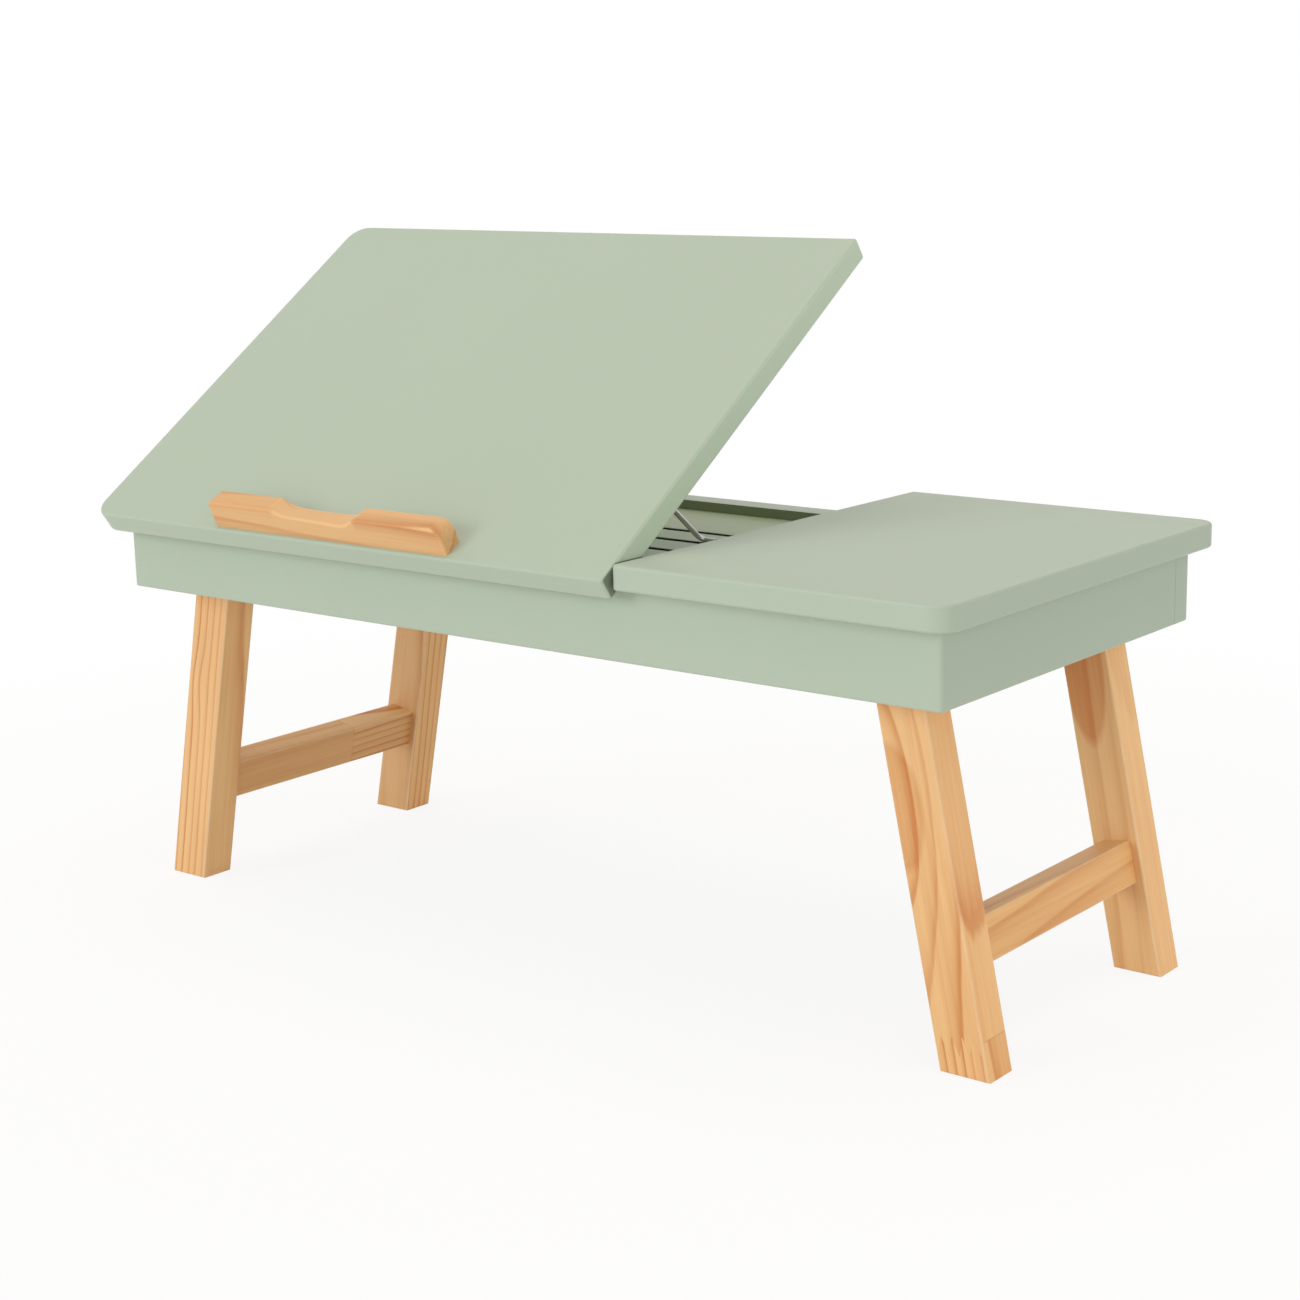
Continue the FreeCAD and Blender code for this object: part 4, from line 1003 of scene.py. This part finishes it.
class LAPTOP_TABLE_OT_finish_legs(Operator):
    """Give each leg the pine that it was cut from, with painted light and shade on its faces"""

    bl_idname = "laptop_table.finish_legs"
    bl_label = "Finish the legs"

    def execute(self, context):
        settings = context.scene.laptop_table.pine
        right_front = swirled_cut(
            plain_cut((-0.075, 0.012), (0.085, -0.020), 0.0250, 0.0050, 0.95, 3.1, 1.35),
            (-0.0165, -0.0125, -0.080),
            (0.0310, 0.030, 0.075),
            -1.8,
        )
        right_front = hearted_cut(right_front, (-0.0165, -0.0125, -0.078), (0.0210, 0.020, 0.036), 0.42)
        right_foot = plain_cut((-0.060, 0.015), (0.02, 0.01), 0.0055, 0.0015, 1.1, 8.6, 1.5)
        right_back = hearted_cut(
            plain_cut((-0.075, 0.012), (0.050, 0.030), 0.0135, 0.0030, 0.45, 5.4),
            (-0.0035, -0.0125, -0.032),
            (0.0145, 0.024, 0.055),
            0.6,
        )
        left_front = swirled_cut(
            plain_cut((0.085, 0.012), (0.012, 0.006), 0.0064, 0.0024, 1.3, 11.7, 1.8),
            (0.006, 0.0125, -0.085),
            (0.008, 0.012, 0.020),
            0.5,
        )
        left_back = hearted_cut(
            plain_cut((0.012, 0.085), (0.01, 0.015), 0.0058, 0.0022, 1.1, 14.2, 1.6),
            (0.0060, 0.0125, -0.035),
            (0.0014, 0.0100, 0.048),
            0.7,
        )
        foot = (-0.2115, 0.011, 0.0068)
        # Painted light on the right legs' outer faces and the left back leg's inner face; the back legs'
        # shades below one are painted shade
        right_front_painted_light = (1.0, (1.18, 1.18, 1.15))
        right_back_painted_light = (1.0, (1.33, 1.36, 1.38))
        left_back_painted_light = (-1.0, (1.36, 1.36, 1.30))
        for side, end, cuts, meeting, shade, face in (
            ("right", "_front_leg", (right_front, right_foot), foot, 1.0, right_front_painted_light),
            ("right", "_back_leg", (right_back,), None, 0.89, right_back_painted_light),
            ("left", "_front_leg", (left_front,), None, 1.0, None),
            ("left", "_back_leg", (left_back,), None, 0.77, left_back_painted_light),
        ):
            node = side + end
            place = leg_place(side, node)
            turn = frame_turn(side, 0.0)
            wood = pine("pine_" + node, settings, place, turn, cuts, meeting, LEG_HALF, shade, face)
            wear(node, wood)
        return {"FINISHED"}


class LAPTOP_TABLE_OT_finish_stretchers(Operator):
    """Give the two stretchers their pine, with the left one's second block and painted light and shade on
    a side face
    """

    bl_idname = "laptop_table.finish_stretchers"
    bl_label = "Finish the stretchers"

    def execute(self, context):
        settings = context.scene.laptop_table.pine
        left_plain = plain_cut((0.090, 0.020), (0.02, 0.03), 0.0120, 0.0040, 0.5, 21.3)
        left_lined = plain_cut((0.015, 0.070), (0.01, 0.02), 0.0052, 0.0010, 1.2, 24.9, 1.6)
        right_lined = plain_cut((-0.045, 0.055), (0.14, 0.05), 0.0125, 0.0030, 0.6, 27.4)
        block = (-0.028, 0.0, 0.0068)
        # Painted shade on the left stretcher's inner face and painted light on the right one's outer face
        left_painted_shade = (-1.0, (0.88, 0.83, 0.76))
        right_painted_light = (1.0, (1.12, 1.1, 1.0))
        for side, cuts, meeting, face in (
            ("left", (left_plain, left_lined), block, left_painted_shade),
            ("right", (right_lined,), None, right_painted_light),
        ):
            node = side + "_stretcher"
            place = middle_of(node)
            turn = frame_turn(side, -math.pi / 2)
            wood = pine("pine_" + node, settings, place, turn, cuts, meeting, STRETCHER_HALF, 1.0, face)
            wear(node, wood)
        return {"FINISHED"}


class LAPTOP_TABLE_OT_add_ledge(Operator):
    """Carve the ledge bar with its dip and rounded ends"""

    bl_idname = "laptop_table.add_ledge"
    bl_label = "Add the ledge bar"

    def execute(self, context):
        table = context.scene.laptop_table
        turn = (Matrix.Rotation(TILT, 3, "X") @ Matrix.Rotation(math.pi / 2, 3, "Y")).to_euler()
        cut = plain_cut((0.090, 0.060), (0.03, 0.02), 0.0120, 0.0018, 0.95, 31.8)
        cut = hearted_cut(cut, (-0.006, 0.0, -0.006), (0.010, 0.020, 0.036), -0.4)
        bar = squared_bar(table.ledge)
        # The edge copy of the pine, lighter than the bar's darker copy, is a painted highlight with scuffs
        # on the bevels
        for name, shade in (("pine_ledge_bar", 0.91), ("pine_ledge_edge", 1.0)):
            wood = pine(name, table.pine, middle_of("ledge_bar"), turn, (cut,), shade=shade)
            bar.data.materials.append(wood)
        carve_dip(bar, table.ledge)
        round_ends(bar, table.ledge)
        ease_edges(bar, table.ledge)
        drill_dowels(bar, table.ledge)
        choose(bar)
        bpy.ops.object.shade_smooth_by_angle(angle=LEDGE_SMOOTHING)
        weighting = bar.modifiers.new("weighting", "WEIGHTED_NORMAL")
        weighting.keep_sharp = True
        bpy.ops.object.modifier_apply(modifier=weighting.name)
        bar.rotation_euler = (TILT, 0.0, 0.0)
        bar.location = tilted(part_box("ledge_bar")[0].x, LEDGE_REACH, LEDGE_LEVEL)
        bpy.ops.object.transform_apply()
        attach(bar, "lid")
        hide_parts("ledge_bar")
        return {"FINISHED"}


class LAPTOP_TABLE_OT_finish_inner_wood(Operator):
    """Give the pivot blocks, stop rails and dowels their pine"""

    bl_idname = "laptop_table.finish_inner_wood"
    bl_label = "Finish the blocks, rails and dowels"

    def execute(self, context):
        settings = context.scene.laptop_table.pine
        along_x = Euler((0.0, math.pi / 2, 0.0))
        along_y = Euler((-math.pi / 2, 0.0, 0.0))
        seed = 40.0
        seed_step = 3.7
        pieces = []
        for end in ("front", "back"):
            for side in SIDES:
                seed += seed_step
                cut = plain_cut((0.030, 0.050), (0.04, 0.03), 0.0050, 0.0020, 0.9, seed)
                pieces.append((end + "_" + side + "_pivot_block", along_x, cut))
        for side in SIDES:
            seed += seed_step
            cut = plain_cut((0.045, 0.035), (0.03, 0.02), 0.0055, 0.0020, 0.9, seed)
            pieces.append((side + "_stop_rail", along_y, cut))
            pieces.append((side + "_stretcher_dowels", along_y, dowel_cut(seed)))
        for node, turn in (("corner_dowels", along_x), ("fixed_top_dowels", Euler())):
            seed += seed_step
            pieces.append((node, turn, dowel_cut(seed)))
        pieces.append(("ledge_dowels", Euler((TILT, 0.0, 0.0)), dowel_cut(seed)))
        for node, turn, cut in pieces:
            wear(node, pine("pine_" + node, settings, middle_of(node), turn, (cut,)))
        return {"FINISHED"}


class LAPTOP_TABLE_OT_finish_wire(Operator):
    """Plate the wire prop"""

    bl_idname = "laptop_table.finish_wire"
    bl_label = "Finish the wire prop"

    def execute(self, context):
        settings = context.scene.laptop_table.hardware
        wear("wire_prop", metal("zinc_wire", settings.zinc, WIRE_PLATING))
        return {"FINISHED"}


class LAPTOP_TABLE_OT_finish_fittings(Operator):
    """Plate the hinges, clips, bolts, washers and inserts"""

    bl_idname = "laptop_table.finish_fittings"
    bl_label = "Finish the hinges, clips and bolts"

    def execute(self, context):
        steel = plated_steel(context.scene.laptop_table.hardware)
        for side in SIDES:
            for part in ("_hinge_lower_leaf", "_hinge_upper_leaf", "_hinge_pin", "_wire_clip"):
                wear(side + part, steel)
        for node in ("pivot_bolts", "pivot_washers", "pivot_inserts"):
            wear(node, steel)
        return {"FINISHED"}


class LAPTOP_TABLE_OT_add_hinge_screws(Operator):
    """Model the countersunk hinge screws with their cross recesses"""

    bl_idname = "laptop_table.add_hinge_screws"
    bl_label = "Add the hinge screws"

    def execute(self, context):
        settings = context.scene.laptop_table.hardware
        steel = plated_steel(settings)
        screw = countersunk_screw(settings)
        low_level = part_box("lower_hinge_screws")[1].z
        middles = [middle_of(side + "_hinge_lower_leaf").x for side in SIDES]
        spread = (-HINGE_SCREW_SPREAD, HINGE_SCREW_SPREAD)
        across = [middle + offset for middle in middles for offset in spread]
        lower = [Vector((x, HINGE.y + HINGE_SCREW_REACH, low_level)) for x in across]
        upper = [tilted(x, HINGE_SCREW_REACH, HINGE.z - low_level) for x in across]
        drive(screw, "lower_hinge_screw_set", lower, Euler(), "tray", "lower_hinge_screws", steel)
        drive(screw, "upper_hinge_screw_set", upper, UPSIDE_DOWN, "lid", "upper_hinge_screws", steel)
        bpy.data.objects.remove(screw)
        return {"FINISHED"}


class LAPTOP_TABLE_OT_add_clip_screws(Operator):
    """Model the pan-headed screws that hold the wire clips"""

    bl_idname = "laptop_table.add_clip_screws"
    bl_label = "Add the clip screws"

    def execute(self, context):
        settings = context.scene.laptop_table.hardware
        steel = plated_steel(settings)
        screw = pan_screw(settings)
        middles = [middle_of(side + "_wire_clip").x for side in SIDES]
        places = [tilted(x, reach, CLIP_SCREW_SEAT) for x in middles for reach in CLIP_SCREW_REACH]
        drive(screw, "clip_screw_set", places, UPSIDE_DOWN, "lid", "clip_screws", steel)
        bpy.data.objects.remove(screw)
        return {"FINISHED"}


class LAPTOP_TABLE_OT_set_stage(Operator):
    """Lay the floor, hang the lamps and stand the camera"""

    bl_idname = "laptop_table.set_stage"
    bl_label = "Set the stage"

    def execute(self, context):
        settings = context.scene.laptop_table.stage
        self.lay_floor(settings)
        self.light_room(context, settings)
        self.hang_lamps(settings)
        self.stand_camera(context, settings)
        context.scene.view_settings.view_transform = "Standard"
        return {"FINISHED"}

    def lay_floor(self, settings):
        """Lays a wide floor that is clear from below."""
        start_alone()
        bpy.ops.mesh.primitive_plane_add(size=FLOOR_SIZE, location=(0.0, 0.0, FLOOR_LEVEL))
        floor = bpy.context.object
        floor.name = "studio_floor"
        set_mode("EDIT")
        bpy.ops.mesh.select_all(action="SELECT")
        bpy.ops.mesh.bevel(offset=FLOOR_ROUNDING, segments=16, affect="VERTICES")
        set_mode("OBJECT")
        floor.data.materials.append(self.floor_finish(settings))

    def floor_finish(self, settings):
        """A dull floor whose shadow is thinned near the table and fades away from it."""
        made, shader, place = new_material("studio_floor")
        tree = made.node_tree
        shader.inputs["Base Color"].default_value = (*settings.floor_colour, 1.0)
        shader.inputs["Specular IOR Level"].default_value = 0.1
        dull = plus(FLOOR_ROUGHNESS, noise(place, 3.0), 0.1)
        link(dull, shader.inputs["Roughness"])
        white = add("Emission", {"Color": WHITE, "Strength": 1.0}, tree)
        away = times(minus(length_of(place), SHADOW_REACH), SHADOW_FADE, clamp=True)
        lift = plus(settings.floor_lift, away, 1.0 - settings.floor_lift)
        seen = times(self.seen_rays(tree), lift)
        lifted = add("MixShader", {0: seen, 1: shader.outputs[0], 2: white.outputs[0]})
        below = tree.nodes.new("ShaderNodeNewGeometry").outputs["Backfacing"]
        clear = tree.nodes.new("ShaderNodeBsdfTransparent")
        both = add("MixShader", {0: below, 1: lifted.outputs[0], 2: clear.outputs[0]})
        link(both.outputs[0], tree.get_output_node("ALL").inputs["Surface"])
        return made

    def seen_rays(self, tree):
        """One for a ray that the camera sees, directly, in a gloss or through glass."""
        path = tree.nodes.new("ShaderNodeLightPath").outputs
        seen = maths("MAXIMUM", path["Is Camera Ray"], path["Is Glossy Ray"])
        return maths("MAXIMUM", seen, path["Is Transmission Ray"])

    def light_room(self, context, settings):
        """Lights the room evenly and shows it as plain white."""
        world = bpy.data.worlds.new("studio")
        context.scene.world = world
        world.use_nodes = True
        tree = world.node_tree
        tree.nodes.clear()
        sky = add("Background", {"Color": WHITE, "Strength": settings.sky_level}, tree)
        white = add("Background", {"Color": WHITE, "Strength": 1.0}, tree)
        seen = self.seen_rays(tree)
        both = add("MixShader", {0: seen, 1: sky.outputs[0], 2: white.outputs[0]})
        output = tree.nodes.new("ShaderNodeOutputWorld")
        link(both.outputs[0], output.inputs["Surface"])

    def hang_lamps(self, settings):
        """Hangs one soft lamp overhead and two low ones in front."""
        upright = math.pi / 2 - settings.front_lamp_rise
        warm = settings.upper_lamp_colour
        cool = settings.front_lamp_colour
        left_turn = (upright, 0.0, LEFT_LAMP_HEADING)
        right_turn = (upright, 0.0, RIGHT_LAMP_HEADING)
        for name, turn, level, colour, spread in (
            ("upper_lamp", ORIGIN, settings.upper_lamp_level, warm, UPPER_LAMP_SPREAD),
            ("left_lamp", left_turn, settings.left_lamp_level, cool, FRONT_LAMP_SPREAD),
            ("right_lamp", right_turn, settings.right_lamp_level, cool, FRONT_LAMP_SPREAD),
        ):
            start_alone()
            bpy.ops.object.light_add(type="SUN", location=(0.0, 0.0, LAMP_HEIGHT), rotation=turn)
            lamp = bpy.context.object
            lamp.name = name
            lamp.data.energy = level
            lamp.data.color = colour
            lamp.data.angle = spread

    def stand_camera(self, context, settings):
        """Stands the camera and makes it the scene's own."""
        start_alone()
        turn = Matrix.Rotation(settings.camera_heading, 3, "Z")
        turn = turn @ Matrix.Rotation(math.pi / 2 - settings.camera_dip, 3, "X")
        turn = turn @ Matrix.Rotation(settings.camera_roll, 3, "Z")
        bpy.ops.object.camera_add(location=settings.camera_place, rotation=turn.to_euler())
        camera = bpy.context.object
        camera.name = "studio_camera"
        camera.data.sensor_width = 36.0
        camera.data.lens = settings.camera_lens
        camera.data.shift_x = settings.camera_shift
        camera.data.clip_start = 0.01
        context.scene.camera = camera


class LAPTOP_TABLE_PT_sidebar(Panel):
    """The laptop table's sizes, colours and steps"""

    bl_idname = "LAPTOP_TABLE_PT_sidebar"
    bl_label = "Laptop table"
    bl_space_type = "VIEW_3D"
    bl_region_type = "UI"
    bl_category = "Laptop table"

    def draw(self, context):
        settings = context.scene.laptop_table
        for group in (settings.paint, settings.pine, settings.ledge, settings.hardware, settings.stage):
            box = self.layout.box()
            for name in group.__annotations__:
                box.prop(group, name)
        for step in OPERATORS:
            self.layout.operator(step.bl_idname)


OPERATORS = (
    LAPTOP_TABLE_OT_paint_boards,
    LAPTOP_TABLE_OT_finish_legs,
    LAPTOP_TABLE_OT_finish_stretchers,
    LAPTOP_TABLE_OT_add_ledge,
    LAPTOP_TABLE_OT_finish_inner_wood,
    LAPTOP_TABLE_OT_finish_wire,
    LAPTOP_TABLE_OT_finish_fittings,
    LAPTOP_TABLE_OT_add_hinge_screws,
    LAPTOP_TABLE_OT_add_clip_screws,
    LAPTOP_TABLE_OT_set_stage,
)
CLASSES = (
    PaintProperties,
    PineProperties,
    LedgeProperties,
    HardwareProperties,
    StageProperties,
    TableProperties,
    *OPERATORS,
    LAPTOP_TABLE_PT_sidebar,
)


def register():
    for made in CLASSES:
        bpy.utils.register_class(made)
    bpy.types.Scene.laptop_table = PointerProperty(type=TableProperties)


def unregister():
    del bpy.types.Scene.laptop_table
    for made in reversed(CLASSES):
        bpy.utils.unregister_class(made)


def main():
    register()
    bpy.ops.laptop_table.paint_boards()
    bpy.ops.laptop_table.finish_legs()
    bpy.ops.laptop_table.finish_stretchers()
    bpy.ops.laptop_table.add_ledge()
    bpy.ops.laptop_table.finish_inner_wood()
    bpy.ops.laptop_table.finish_wire()
    bpy.ops.laptop_table.finish_fittings()
    bpy.ops.laptop_table.add_hinge_screws()
    bpy.ops.laptop_table.add_clip_screws()
    bpy.ops.laptop_table.set_stage()


if __name__ == "__main__":
    main()
